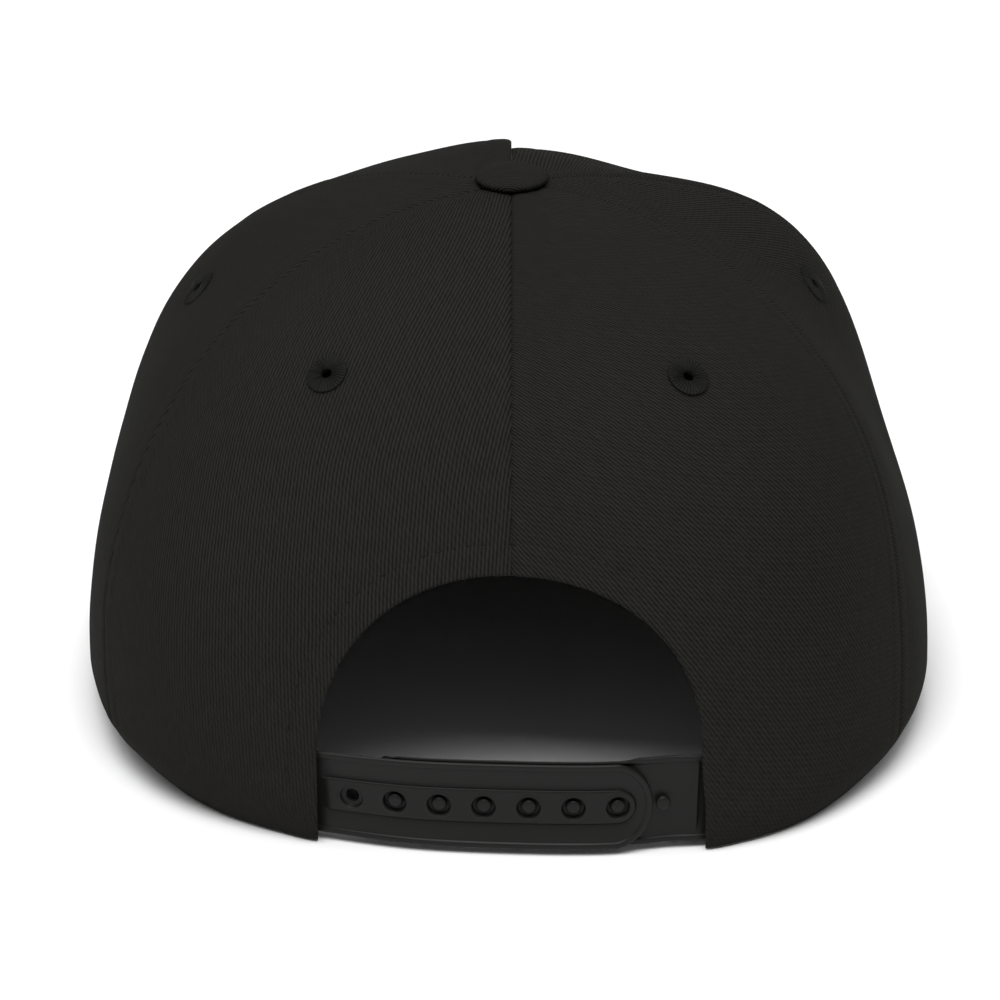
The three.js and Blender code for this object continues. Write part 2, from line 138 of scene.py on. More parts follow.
def from_rear(turn: Array) -> Array:
    """Degrees from the rear seam, on either side."""
    return np.abs((turn + 180) % 360 - 180)


def from_spots(points: Array, spots: Array) -> Array:
    """Distance of each point to the nearest of many spots."""
    parts = np.array_split(points, len(points) // 2000 + 1)
    return np.concatenate([np.linalg.norm(p[:, None] - spots, axis=2).min(1) for p in parts])


def ripple(points: Array, size: float, seed: int) -> Array:
    """Soft uneven waves through space, as slack in cloth.

    Args:
        points: places to read, n by 3, in millimetres.
        size: wavelength in millimetres.
        seed: which waves.

    Returns:
        A value from about -1 to 1 for each point.
    """
    draw = np.random.RandomState(seed)
    total = np.zeros(len(points))
    for _ in range(7):
        way = unit(draw.normal(size=3)) * 2 * math.pi / (size * draw.uniform(0.7, 1.5))
        total += np.sin(points @ way + draw.uniform(0, 2 * math.pi))
    return total / 3.5


def slack(points: Array) -> Array:
    """How far the crown's cloth stands off its form, in millimetres."""
    return 0.3 * ripple(points, 55, 3) + 0.1 * ripple(points, 19, 4)


@dataclass(frozen=True)
class Swell:
    """A soft swelling of the crown, by its place and how far it stands out."""

    turn: float
    fall: float
    out: float


class Seam(Enum):
    """Seams of the crown, as the turn at the button and at the rim."""

    REAR = (0.0, 0.0)
    REAR_LEFT = (60.0, 58.5)
    FRONT_LEFT = (112.0, 118.0)
    FRONT = (180.0, 180.0)
    FRONT_RIGHT = (249.0, 242.0)
    REAR_RIGHT = (290.0, 303.0)
    REAR_AGAIN = (360.0, 360.0)

    def turn(self, fall: Array | float) -> Array | float:
        """Turn of the seam at a fall."""
        button, rim = self.value
        return button + (rim - button) * (fall / CrownForm.fall_rim)


class CrownForm:
    """The outside of the crown, by the rule that the CAD part is made with.

    A place is a turn, in degrees round from the rear seam towards the wearer's left, and
    a fall, from 0 at the button to 1 at the widest level and 1.15 at the rim.
    """

    fall_top = 0.02
    fall_rim = 1.15
    half_width = 92.0
    rear_depth = 99.5
    front_depth = 95.0
    height = 116.4
    widest_height = 11.0
    apex_behind = 3.3
    pulled_in = 0.056
    rear_kept_out = 0.72
    rear_turn = 38.0
    tucked_in = 0.3
    tucked_turn = 57.0
    tucked_width = 16.0
    skew = -0.064
    rim_over_bill = 4.3
    bill_turn = 118.0
    rise_turn = 12.0
    swell_turn = 24.0
    swell_fall = 0.2
    swells = (
        Swell(45, 0.85, 3.3),
        Swell(-45, 0.85, -3.5),
        Swell(98, 0.45, 3.3),
        Swell(92, 0.68, -0.9),
        Swell(-78, 0.45, -2.9),
        Swell(-92, 0.68, -4.5),
        Swell(-118, 0.5, 4.2),
        Swell(-140, 0.35, -3.2),
        Swell(140, 0.35, -1.2),
        Swell(180, 0.45, -2.4),
        Swell(50, 1.1, -2.3),
        Swell(-50, 1.1, -2.1),
        Swell(84, 0.98, 1.2),
        Swell(-84, 0.95, 0.8),
    )
    arch_half = 40.3
    arch_aside = 0.5
    arch_top = 63.3
    arch_springs = 20.0
    arch_power = 2.15
    right_edge = ((0.0, 20.0, 63.0), (1.2, -1.4, 0.0))

    def __init__(self) -> None:
        """Find where the CAD frame has the crown's middle, by its button."""
        low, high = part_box("crown_button")
        centre = (low + high) / (2 * MM)
        self.shift = np.array([centre.x, centre.y - self.apex_behind, 0.0])

    def point(self, turn: Array, fall: Array, stepped: bool = True) -> Array:
        """Point on the outside of the crown.

        Args:
            turn: degrees round from the rear seam.
            fall: 0 at the button to 1.15 at the rim.
            stepped: whether the front left panel stands proud at the front seam.

        Returns:
            Points in millimetres, in the frame.
        """
        turn, fall = np.broadcast_arrays(np.asarray(turn, float), fall)
        sine, cosine = np.sin(np.radians(turn)), np.cos(np.radians(turn))
        power = 2.4 + 0.6 * np.maximum(cosine, 0) ** 2 + 0.05 * np.maximum(-cosine, 0) ** 2
        lean = np.minimum(fall, 1) * math.pi / 2
        upright = np.maximum(np.cos(lean), 0)
        reach = (np.sin(lean) ** power + upright**power) ** (-1 / power)
        out, up = reach * np.sin(lean), reach * upright
        low = np.clip((fall - 1) / (self.fall_rim - 1), 0, 1)
        grown = np.zeros_like(out)
        for row in self.swells:
            away = (turn - row.turn + 180) % 360 - 180
            grown += (
                row.out
                * bump_at(away, 0, self.swell_turn)
                * bump_at(fall, row.fall, self.swell_fall)
            )
        grown *= np.minimum(fall / self.swell_fall, 1)
        radius = self._plan(sine, cosine, out * out) * out
        beside = from_rear(turn)
        pulled_in = self.pulled_in * (
            1
            - self.rear_kept_out * bump_at(beside, 0, self.rear_turn)
            + self.tucked_in * bump_at(beside, self.tucked_turn, self.tucked_width)
        )
        wide = radius * (1 - pulled_in * low * low) + grown * np.sin(lean)
        rim = self.rim_over_bill * smooth(beside, self.bill_turn - self.rise_turn, self.bill_turn)
        z = (
            self.widest_height * (1 - low)
            + rim * low
            + (self.height - self.widest_height) * up
            + grown * np.cos(lean)
        )
        if stepped:
            z = z + self._front_step(turn, fall)
        y = wide * cosine * (1 + self.skew * sine * np.maximum(cosine, 0))
        return (
            np.stack([wide * sine, y + self.apex_behind * (1 - out), z], -1) + self.shift
        )

    def _plan(self, sine: Array, cosine: Array, squareness: Array) -> Array:
        """Radius of the crown's plan, an ellipse at squareness 0."""
        rear = cosine >= 0
        depth = np.where(rear, self.rear_depth, self.front_depth)
        power = np.where(rear, 2 + 0.8 * squareness, 2.0)
        across = np.abs(sine) / self.half_width
        return (across**power + (np.abs(cosine) / depth) ** power) ** (-1 / power)

    @staticmethod
    def _front_step(turn: Array, fall: Array) -> Array:
        """How far the front left panel stands above its neighbour at the front seam."""
        from_seam = 180 - turn % 360
        step = (
            2
            * bump_at(from_seam, 0, 26)
            * smooth(fall, 0.1, 0.2)
            * (1 - smooth(fall, 0.4, 0.75))
        )
        # It runs on a little past the seam, so that the panel's normals stay true there.
        return np.where(from_seam >= -2, step, 0)

    def normal(self, turn: Array, fall: Array, stepped: bool = True) -> Array:
        """Outward normal of the crown at a place."""
        high = np.minimum(np.asarray(fall) + 0.004, self.fall_rim)
        across = self.point(turn + 0.5, fall, stepped) - self.point(turn - 0.5, fall, stepped)
        down = self.point(turn, high, stepped) - self.point(turn, high - 0.008, stepped)
        return unit(np.cross(across, down))

    def skin(self, turn: Array, fall: Array, out: Array | float, stepped: bool = True) -> Array:
        """Point at a distance out from the crown's outside, or inside it where negative."""
        lift = np.asarray(out, float)[..., None]
        return self.point(turn, fall, stepped) + self.normal(turn, fall, stepped) * lift

    def fall_at(self, height: Array, turn: Array) -> Array:
        """Fall at which the crown has a height, at each turn."""
        low = np.full(np.shape(height), 0.3)
        high = np.full(np.shape(height), self.fall_rim)
        for _ in range(22):
            middle = (low + high) / 2
            above = self.point(turn, middle)[..., 2] > height
            low, high = np.where(above, middle, low), np.where(above, high, middle)
        return high

    def arch_turn(self, height: Array, side: int, wider: float = 0.0) -> Array:
        """Turn of the rear arch's edge at a height.

        Args:
            height: heights in millimetres.
            side: 1 for the wearer's left half, -1 for the right.
            wider: how far outside the arch's edge the line lies.

        Returns:
            Turns, positive on both sides.
        """
        span = self.arch_top + wider - self.arch_springs
        rise = np.clip((height - self.arch_springs) / span, 0, 1)
        width = np.maximum(1 - rise**self.arch_power, 0) ** (1 / self.arch_power)
        target = (self.arch_half + wider) * width
        if side < 0:
            target = target + np.interp(height, *self.right_edge) * np.minimum(width * 2, 1)
        low, high = np.zeros(np.shape(height)), np.full(np.shape(height), 45.0)
        for _ in range(22):
            middle = (low + high) / 2
            x = self.point(middle * side, self.fall_at(height, middle * side))[..., 0]
            inside = np.abs(x - self.shift[0] - self.arch_aside) < target
            low, high = np.where(inside, middle, low), np.where(inside, high, middle)
        return low

    def arch_line(self, side: int, wider: float, count: int) -> tuple[Array, Array]:
        """Half of a line round the rear arch, from its top down to the rim.

        Args:
            side: 1 for the wearer's left half, -1 for the right.
            wider: how far outside the arch's edge the line lies.
            count: how many points it has.

        Returns:
            Turns, signed by side, and falls.
        """
        angle = np.linspace(0, math.pi / 2, count)
        span = self.arch_top + wider - self.arch_springs
        curved = self.arch_springs + span * np.cos(angle) ** (2 / self.arch_power)
        height = np.concatenate([curved, np.linspace(self.arch_springs, 1, count // 3)[1:]])
        turn = self.arch_turn(height, side, wider) * side
        return turn, self.fall_at(height, turn)


def add_node(
    tree: bpy.types.NodeTree,
    kind: str,
    inputs: dict[str | int, object] | None = None,
    **settings: object,
) -> bpy.types.Node:
    """Add one node.

    Args:
        tree: the node tree.
        kind: the node's type.
        inputs: for a socket, the output that feeds it or its value.
        **settings: the node's own settings.

    Returns:
        The new node.
    """
    node = tree.nodes.new(kind)
    for name, value in settings.items():
        setattr(node, name, value)
    for key, value in (inputs or {}).items():
        if isinstance(value, bpy.types.NodeSocket):
            tree.links.new(value, node.inputs[key])
        else:
            node.inputs[key].default_value = value
    return node


def start_edit(obj: bpy.types.Object) -> None:
    """Make obj the only selected object and open it in edit mode, with all selected."""
    only(obj)
    bpy.ops.object.mode_set(mode="EDIT")
    bpy.ops.mesh.select_mode(type="VERT")
    bpy.ops.mesh.select_all(action="SELECT")


def only(obj: bpy.types.Object) -> None:
    """Make obj the active object and the only one that is selected."""
    bpy.ops.object.select_all(action="DESELECT")
    obj.select_set(True)
    bpy.context.view_layer.objects.active = obj


def coordinates(obj: bpy.types.Object) -> Array:
    """The vertices of obj in millimetres, n by 3."""
    flat = np.zeros(len(obj.data.vertices) * 3)
    obj.data.vertices.foreach_get("co", flat)
    return flat.reshape(-1, 3) / MM


def move_to(obj: bpy.types.Object, points: Array) -> None:
    """Put the vertices of obj at these places, in millimetres."""
    obj.data.vertices.foreach_set("co", (points * MM).ravel())
    obj.data.update()


def apply_modifier(obj: bpy.types.Object, kind: str, **settings: object) -> None:
    """Add a modifier to obj with its settings, and apply it."""
    only(obj)
    modifier = obj.modifiers.new(kind.lower(), kind)
    for name, value in settings.items():
        setattr(modifier, name, value)
    bpy.ops.object.modifier_apply(modifier=modifier.name)


def face_out(obj: bpy.types.Object, merge: float = 1e-6) -> None:
    """Merge what coincides in a closed mesh, unless merge is 0, and turn its faces outwards."""
    start_edit(obj)
    if merge:
        bpy.ops.mesh.remove_doubles(threshold=merge)
    bpy.ops.mesh.normals_make_consistent(inside=False)
    bpy.ops.object.mode_set(mode="OBJECT")


def mapped_grid(name: str, points: Array, weave: Array | None = None) -> bpy.types.Object:
    """A grid primitive whose vertices are put in given places.

    Args:
        name: the object's name.
        points: rows by columns by 3, in millimetres. Seen from the side that faces out,
            columns run to the left and rows run down.
        weave: the weave map at the same places, rows by columns by 2.

    Returns:
        The grid, an open sheet.
    """
    rows, columns = points.shape[0] - 1, points.shape[1] - 1
    bpy.ops.object.select_all(action="DESELECT")
    bpy.ops.mesh.primitive_grid_add(
        x_subdivisions=columns, y_subdivisions=rows, size=2, calc_uvs=True
    )
    obj = bpy.context.object
    obj.name = obj.data.name = name
    places = grid_places(obj, rows, columns)
    move_to(obj, points[places])
    if weave is not None:
        set_weave(obj, weave[places])
    return obj


def grid_places(obj: bpy.types.Object, rows: int, columns: int) -> tuple[Array, Array]:
    """Row and column of each vertex of a fresh grid primitive of size 2."""
    flat = coordinates(obj) * MM
    column = np.rint((1 - flat[:, 0]) / 2 * columns).astype(int)
    row = np.rint((1 - flat[:, 1]) / 2 * rows).astype(int)
    return row, column


def set_weave(obj: bpy.types.Object, weave: Array) -> None:
    """Give a sheet its weave map.

    Args:
        obj: the sheet.
        weave: for each vertex, ribs crossed and ribs' lengths run, n by 2.
    """
    corners = np.zeros(len(obj.data.loops), int)
    obj.data.loops.foreach_get("vertex_index", corners)
    layer = obj.data.uv_layers[0] if obj.data.uv_layers else obj.data.uv_layers.new()
    layer.name = WEAVE
    obj.data.uv_layers[WEAVE].data.foreach_set("uv", weave[corners].ravel())


def soften(obj: bpy.types.Object, degrees: float = 50) -> None:
    """Shade obj smooth, apart from its sharp edges."""
    only(obj)
    bpy.ops.object.shade_smooth_by_angle(angle=math.radians(degrees))


def turned(name: str, profile: list[tuple[float, float]], steps: int) -> bpy.types.Object:
    """Spin a profile round Z.

    Args:
        name: the object's name.
        profile: pairs of radius and height in millimetres, along one line.
        steps: how many faces go round.

    Returns:
        The turned mesh, round the origin.
    """
    mesh = bpy.data.meshes.new(name)
    spots = [(radius * MM, 0, height * MM) for radius, height in profile]
    mesh.from_pydata(spots, [(i, i + 1) for i in range(len(spots) - 1)], [])
    obj = bpy.data.objects.new(name, mesh)
    bpy.context.scene.collection.objects.link(obj)
    start_edit(obj)
    bpy.ops.mesh.spin(steps=steps, angle=2 * math.pi, center=(0, 0, 0), axis=(0, 0, 1))
    bpy.ops.object.mode_set(mode="OBJECT")
    face_out(obj)
    return obj


def joined(name: str, parts: list[bpy.types.Object]) -> bpy.types.Object:
    """Join objects into one, with a name."""
    bpy.ops.object.select_all(action="DESELECT")
    for part in parts:
        part.select_set(True)
    bpy.context.view_layer.objects.active = parts[0]
    bpy.ops.object.join()
    parts[0].name = parts[0].data.name = name
    return parts[0]


def hand_over(
    obj: bpy.types.Object, material: bpy.types.Material, slot: str, *nodes: str
) -> None:
    """Dress a finished piece, hide the CAD parts that it stands for and hang it on the root body.

    Args:
        obj: the piece, in place.
        material: its finish.
        slot: a material slot's name, which is not used.
        *nodes: the CAD nodes that it stands for.
    """
    obj.data.materials.clear()
    obj.data.materials.append(material)
    if nodes:
        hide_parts(*nodes)
    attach(obj, ROOT)
    log.info("%s: %d faces", obj.name, len(obj.data.polygons))


def start_material(name: str) -> tuple[bpy.types.Material, bpy.types.NodeTree, bpy.types.Node]:
    """A new material, its node tree and its shader."""
    material = bpy.data.materials.new(name)
    material.use_nodes = True
    return material, material.node_tree, material.node_tree.nodes["Principled BSDF"]


@dataclass(frozen=True)
class CottonTwill:
    """Piece-dyed cotton twill: matte yarn ribs, with painted light along their tops and painted
    shade between them.
    """

    # Colours of the ribs: painted light on their tops and painted shade at their feet.
    rib_top_painted_light: str = "#262523"
    rib_foot_painted_shade: str = "#121211"
    roughness: float = 0.9
    specular: float = 0.03
    relief: float = 0.16
    mean_rib: float = 0.64
    wander: float = 0.8
    floats_per_rib: float = 2.6
    yarn: float = 0.09
    slub: float = 0.7
    fuzz: float = 0.5
    foot_height: float = 0.62
    top_height: float = 1.74
    hem_crispness: float = 0.35
    hem_reach: float = 0.055

    def make(self) -> bpy.types.Material:
        """Build the finish. Its weave map counts ribs across and along."""
        material, tree, shader = start_material("cotton_twill_woven_dyed")
        weave = add_node(tree, "ShaderNodeUVMap", uv_map=WEAVE).outputs["UV"]
        place = add_node(tree, "ShaderNodeTexCoord").outputs["Object"]
        stretch = add_node(
            tree, "ShaderNodeMapping", {"Vector": weave, "Scale": (1.0, 0.22, 1.0)}
        ).outputs["Vector"]
        # Yarns wander a little, thicken and thin along their length, and are fuzzy. The dye
        # took a little unevenly.
        wander, slub, fuzz, wash = (
            add_node(
                tree, "ShaderNodeTexNoise", {"Vector": vector, "Scale": scale, "Detail": detail}
            ).outputs["Fac"]
            for vector, scale, detail in (
                (weave, 0.07, 2.0),
                (stretch, 1.1, 2.0),
                (weave, 2.6, 3.0),
                (place, 28.0, 3.0),
            )
        )
        split = add_node(tree, "ShaderNodeSeparateXYZ", {"Vector": weave})
        across = add_node(
            tree,
            "ShaderNodeMath",
            {0: wander, 1: self.wander, 2: split.outputs["X"]},
            operation="MULTIPLY_ADD",
        ).outputs[0]
        turns = add_node(
            tree, "ShaderNodeMath", {0: across, 1: math.pi}, operation="MULTIPLY"
        ).outputs[0]
        wave = add_node(tree, "ShaderNodeMath", {0: turns}, operation="SINE").outputs[0]
        rib = add_node(tree, "ShaderNodeMath", {0: wave}, operation="ABSOLUTE").outputs[0]
        # Each rib is a row of short floats that lie one above another.
        slant = add_node(
            tree,
            "ShaderNodeMath",
            {0: split.outputs["Y"], 1: self.floats_per_rib, 2: turns},
            operation="MULTIPLY_ADD",
        ).outputs[0]
        yarn = add_node(tree, "ShaderNodeMath", {0: slant}, operation="SINE").outputs[0]
        # The cloth is pressed flatter low down, by the hem and the band, so its ribs stand lower
        # there and their painted light and shade are weaker.
        low_down = add_node(tree, "ShaderNodeSeparateXYZ", {"Vector": place}).outputs["Z"]
        crisp = add_node(
            tree,
            "ShaderNodeMapRange",
            {"Value": low_down, "From Max": self.hem_reach, "To Min": self.hem_crispness},
        ).outputs["Result"]
        from_mean = add_node(
            tree, "ShaderNodeMath", {0: rib, 1: self.mean_rib}, operation="SUBTRACT"
        ).outputs[0]
        height = self.mean_rib
        for value, amount in (
            (from_mean, crisp),
            (yarn, self.yarn),
            (slub, self.slub),
            (fuzz, self.fuzz),
        ):
            height = add_node(
                tree, "ShaderNodeMath", {0: value, 1: amount, 2: height}, operation="MULTIPLY_ADD"
            ).outputs[0]
        # The colour runs from painted shade at the ribs' feet to painted light on their tops, and
        # the yarns' slubs and fuzz vary it at random.
        share = add_node(
            tree,
            "ShaderNodeMapRange",
            {"Value": height, "From Min": self.foot_height, "From Max": self.top_height},
        ).outputs["Result"]
        colour = add_node(
            tree,
            "ShaderNodeMix",
            {"Factor": share, "A": linear(self.rib_foot_painted_shade), "B": linear(self.rib_top_painted_light)},
            data_type="RGBA",
        )
        dye = add_node(
            tree, "ShaderNodeMapRange", {"Value": wash, "To Min": 0.93, "To Max": 1.07}
        ).outputs["Result"]
        washed = add_node(
            tree, "ShaderNodeVectorMath", {0: colour.outputs[2], "Scale": dye}, operation="SCALE"
        ).outputs[0]
        bump = add_node(
            tree,
            "ShaderNodeBump",
            {"Height": height, "Strength": 0.9, "Distance": self.relief * MM},
        ).outputs["Normal"]
        tree.links.new(washed, shader.inputs["Base Color"])
        tree.links.new(bump, shader.inputs["Normal"])
        shader.inputs["Roughness"].default_value = self.roughness
        shader.inputs["Specular IOR Level"].default_value = self.specular
        return material


@dataclass(frozen=True)
class SpunThread:
    """Spun polyester sewing thread: darker than the cloth, with a grain finer than its twist."""

    colour: str = "#111110"
    roughness: float = 0.7
    specular: float = 0.12
    grain: float = 2600.0

    def make(self) -> bpy.types.Material:
        """Build the finish."""
        material, tree, shader = start_material("spun_polyester_thread")
        place = add_node(tree, "ShaderNodeTexCoord").outputs["Object"]
        grain = add_node(
            tree, "ShaderNodeTexNoise", {"Vector": place, "Scale": self.grain, "Detail": 2.0}
        ).outputs["Fac"]
        tone = add_node(
            tree,
            "ShaderNodeMapRange",
            {"Value": grain, "From Min": 0.3, "From Max": 0.7, "To Min": 0.8, "To Max": 1.2},
        ).outputs["Result"]
        colour = add_node(
            tree,
            "ShaderNodeVectorMath",
            {0: linear(self.colour)[:3], "Scale": tone},
            operation="SCALE",
        ).outputs[0]
        bump = add_node(
            tree, "ShaderNodeBump", {"Height": grain, "Strength": 0.6, "Distance": 0.08 * MM}
        ).outputs["Normal"]
        tree.links.new(colour, shader.inputs["Base Color"])
        tree.links.new(bump, shader.inputs["Normal"])
        shader.inputs["Roughness"].default_value = self.roughness
        shader.inputs["Specular IOR Level"].default_value = self.specular
        return material


@dataclass(frozen=True)
class BrushedCotton:
    """Brushed plain-weave cotton of the sweatband: fine, flat and softly napped."""

    colour: str = "#1c1c1b"
    roughness: float = 0.9
    sheen: float = 0.15
    threads_per_mm: float = 1.4

    def make(self) -> bpy.types.Material:
        """Build the finish. Its weave map is in millimetres."""
        material, tree, shader = start_material("brushed_cotton_plain_weave")
        weave = add_node(tree, "ShaderNodeUVMap", uv_map=WEAVE).outputs["UV"]
        split = add_node(tree, "ShaderNodeSeparateXYZ", {"Vector": weave})
        # The threads are drawn twice as coarse as they are, so that they show.
        waves = []
        for axis in ("X", "Y"):
            turns = add_node(
                tree,
                "ShaderNodeMath",
                {0: split.outputs[axis], 1: math.pi * self.threads_per_mm},
                operation="MULTIPLY",
            ).outputs[0]
            waves.append(
                add_node(tree, "ShaderNodeMath", {0: turns}, operation="SINE").outputs[0]
            )
        cross = add_node(
            tree, "ShaderNodeMath", {0: waves[0], 1: waves[1]}, operation="MULTIPLY"
        ).outputs[0]
        nap = add_node(
            tree, "ShaderNodeTexNoise", {"Vector": weave, "Scale": 2.4, "Detail": 4.0}
        ).outputs["Fac"]
        height = add_node(
            tree, "ShaderNodeMath", {0: nap, 1: 2.0, 2: cross}, operation="MULTIPLY_ADD"
        ).outputs[0]
        tone = add_node(
            tree,
            "ShaderNodeMapRange",
            {"Value": height, "From Min": 0.0, "From Max": 2.0, "To Min": 0.8, "To Max": 1.15},
        ).outputs["Result"]
        colour = add_node(
            tree,
            "ShaderNodeVectorMath",
            {0: linear(self.colour)[:3], "Scale": tone},
            operation="SCALE",
        ).outputs[0]
        bump = add_node(
            tree, "ShaderNodeBump", {"Height": height, "Strength": 0.5, "Distance": 0.1 * MM}
        ).outputs["Normal"]
        tree.links.new(colour, shader.inputs["Base Color"])
        tree.links.new(bump, shader.inputs["Normal"])
        shader.inputs["Roughness"].default_value = self.roughness
        shader.inputs["Sheen Weight"].default_value = self.sheen
        return material


@dataclass(frozen=True)
class MouldedPlastic:
    """Injection-moulded soft polyethylene: satin, with the fine grain of the mould."""

    colour: str = "#131312"
    roughness: float = 0.45
    specular: float = 0.17
    grain_mm: float = 0.35
    flow: float = 160.0

    def make(self) -> bpy.types.Material:
        """Build the finish."""
        material, tree, shader = start_material("moulded_polyethylene_satin")
        place = add_node(tree, "ShaderNodeTexCoord").outputs["Object"]
        grain, flow = (
            add_node(
                tree, "ShaderNodeTexNoise", {"Vector": place, "Scale": scale, "Detail": 2.0}
            ).outputs["Fac"]
            for scale in (1 / (self.grain_mm * MM), self.flow)
        )
        gloss = add_node(
            tree,
            "ShaderNodeMapRange",
            {"Value": flow, "To Min": self.roughness - 0.06, "To Max": self.roughness + 0.08},
        ).outputs["Result"]
        bump = add_node(
            tree, "ShaderNodeBump", {"Height": grain, "Strength": 0.35, "Distance": 0.02 * MM}
        ).outputs["Normal"]
        tone = add_node(
            tree, "ShaderNodeMapRange", {"Value": flow, "To Min": 0.92, "To Max": 1.08}
        ).outputs["Result"]
        colour = add_node(
            tree,
            "ShaderNodeVectorMath",
            {0: linear(self.colour)[:3], "Scale": tone},
            operation="SCALE",
        ).outputs[0]
        tree.links.new(colour, shader.inputs["Base Color"])
        tree.links.new(gloss, shader.inputs["Roughness"])
        tree.links.new(bump, shader.inputs["Normal"])
        shader.inputs["Specular IOR Level"].default_value = self.specular
        return material


@dataclass
class StitchRow:
    """A row of lockstitches along a line on the cloth."""

    line: Array
    up: Array
    pitch: float = 3.2

    def centres(self) -> tuple[Array, Array, Array]:
        """Where the stitches are.

        Returns:
            Each stitch's middle, its way along the row, and its up.
        """
        along = lengths_along(self.line)
        count = max(int(along[-1] / self.pitch), 1)
        spots = (np.arange(count) + 0.5) * along[-1] / count
        middle = self._at(self.line, along, spots)
        ahead = self._at(self.line, along, spots + 0.4 * self.pitch)
        behind = self._at(self.line, along, spots - 0.4 * self.pitch)
        way = unit(ahead - behind)
        up = self._at(self.up, along, spots)
        up = unit(up - (up * way).sum(1, keepdims=True) * way)
        return middle, way, up

    def needle_holes(self) -> Array:
        """Points where the thread enters the cloth, between the stitches."""
        along = lengths_along(self.line)
        count = max(int(along[-1] / self.pitch), 1)
        return self._at(self.line, along, np.arange(count + 1) * along[-1] / count)

    @staticmethod
    def _at(values: Array, along: Array, spots: Array) -> Array:
        """Read rows of values at distances along the line."""
        return np.stack([np.interp(spots, along, values[:, i]) for i in range(3)], 1)


@dataclass
class Stitching:
    """Topstitching in one thread: one modelled stitch, copied along rows."""

    name: str
    rows: list[StitchRow]
    length: float = 2.4
    thread: float = 0.18
    lift: float = -0.12

    def build(self) -> bpy.types.Object:
        """Model one stitch and set a copy at each place of each row."""
        bpy.ops.object.select_all(action="DESELECT")
        bpy.ops.mesh.primitive_uv_sphere_add(segments=8, ring_count=6, radius=1)
        obj = bpy.context.object
        obj.name = obj.data.name = self.name
        ball = coordinates(obj) * MM
        # The poles go to the stitch's ends, which dive into the cloth.
        shape = np.stack([ball[:, 2], ball[:, 0], ball[:, 1]], 1)
        plump = np.sign(shape[:, 0]) * np.abs(shape[:, 0]) ** 0.8
        shape[:, 0] = plump * self.length / 2
        shape[:, 1:] *= self.thread
        shape[:, 2] += self.lift - 0.42 * np.abs(plump) ** 3
        middles, ways, ups = (
            np.concatenate(part) for part in zip(*(row.centres() for row in self.rows))
        )
        sides = np.cross(ups, ways)
        basis = np.stack([ways, sides, ups], 1)
        places = np.einsum("vi,sij->svj", shape, basis) + middles[:, None]
        faces = [list(face.vertices) for face in obj.data.polygons]
        copies = [
            [i + k * len(shape) for i in face] for k in range(len(middles)) for face in faces
        ]
        obj.data.clear_geometry()
        obj.data.from_pydata((places.reshape(-1, 3) * MM).tolist(), [], copies)
        obj.data.update()
        face_out(obj, 1e-7)
        soften(obj, 80)
        return obj


@dataclass(frozen=True)
class EyeletPlace:
    """Where a vent eyelet is worked in the crown."""

    side: str
    turn: float
    fall: float


# Distances of the stitch rows from the seams and from the rear arch, in millimetres.
ROW_FROM_SEAM = 5.2
ROW_FROM_ARCH = 6.5
EYELETS = (
    EyeletPlace("rear_left", 30, 0.475),
    EyeletPlace("rear_right", -29, 0.468),
    EyeletPlace("side_left", 84, 0.48),
    EyeletPlace("side_right", -95, 0.49),
    EyeletPlace("front_left", 147, 0.48),
    EyeletPlace("front_right", -145, 0.48),
)


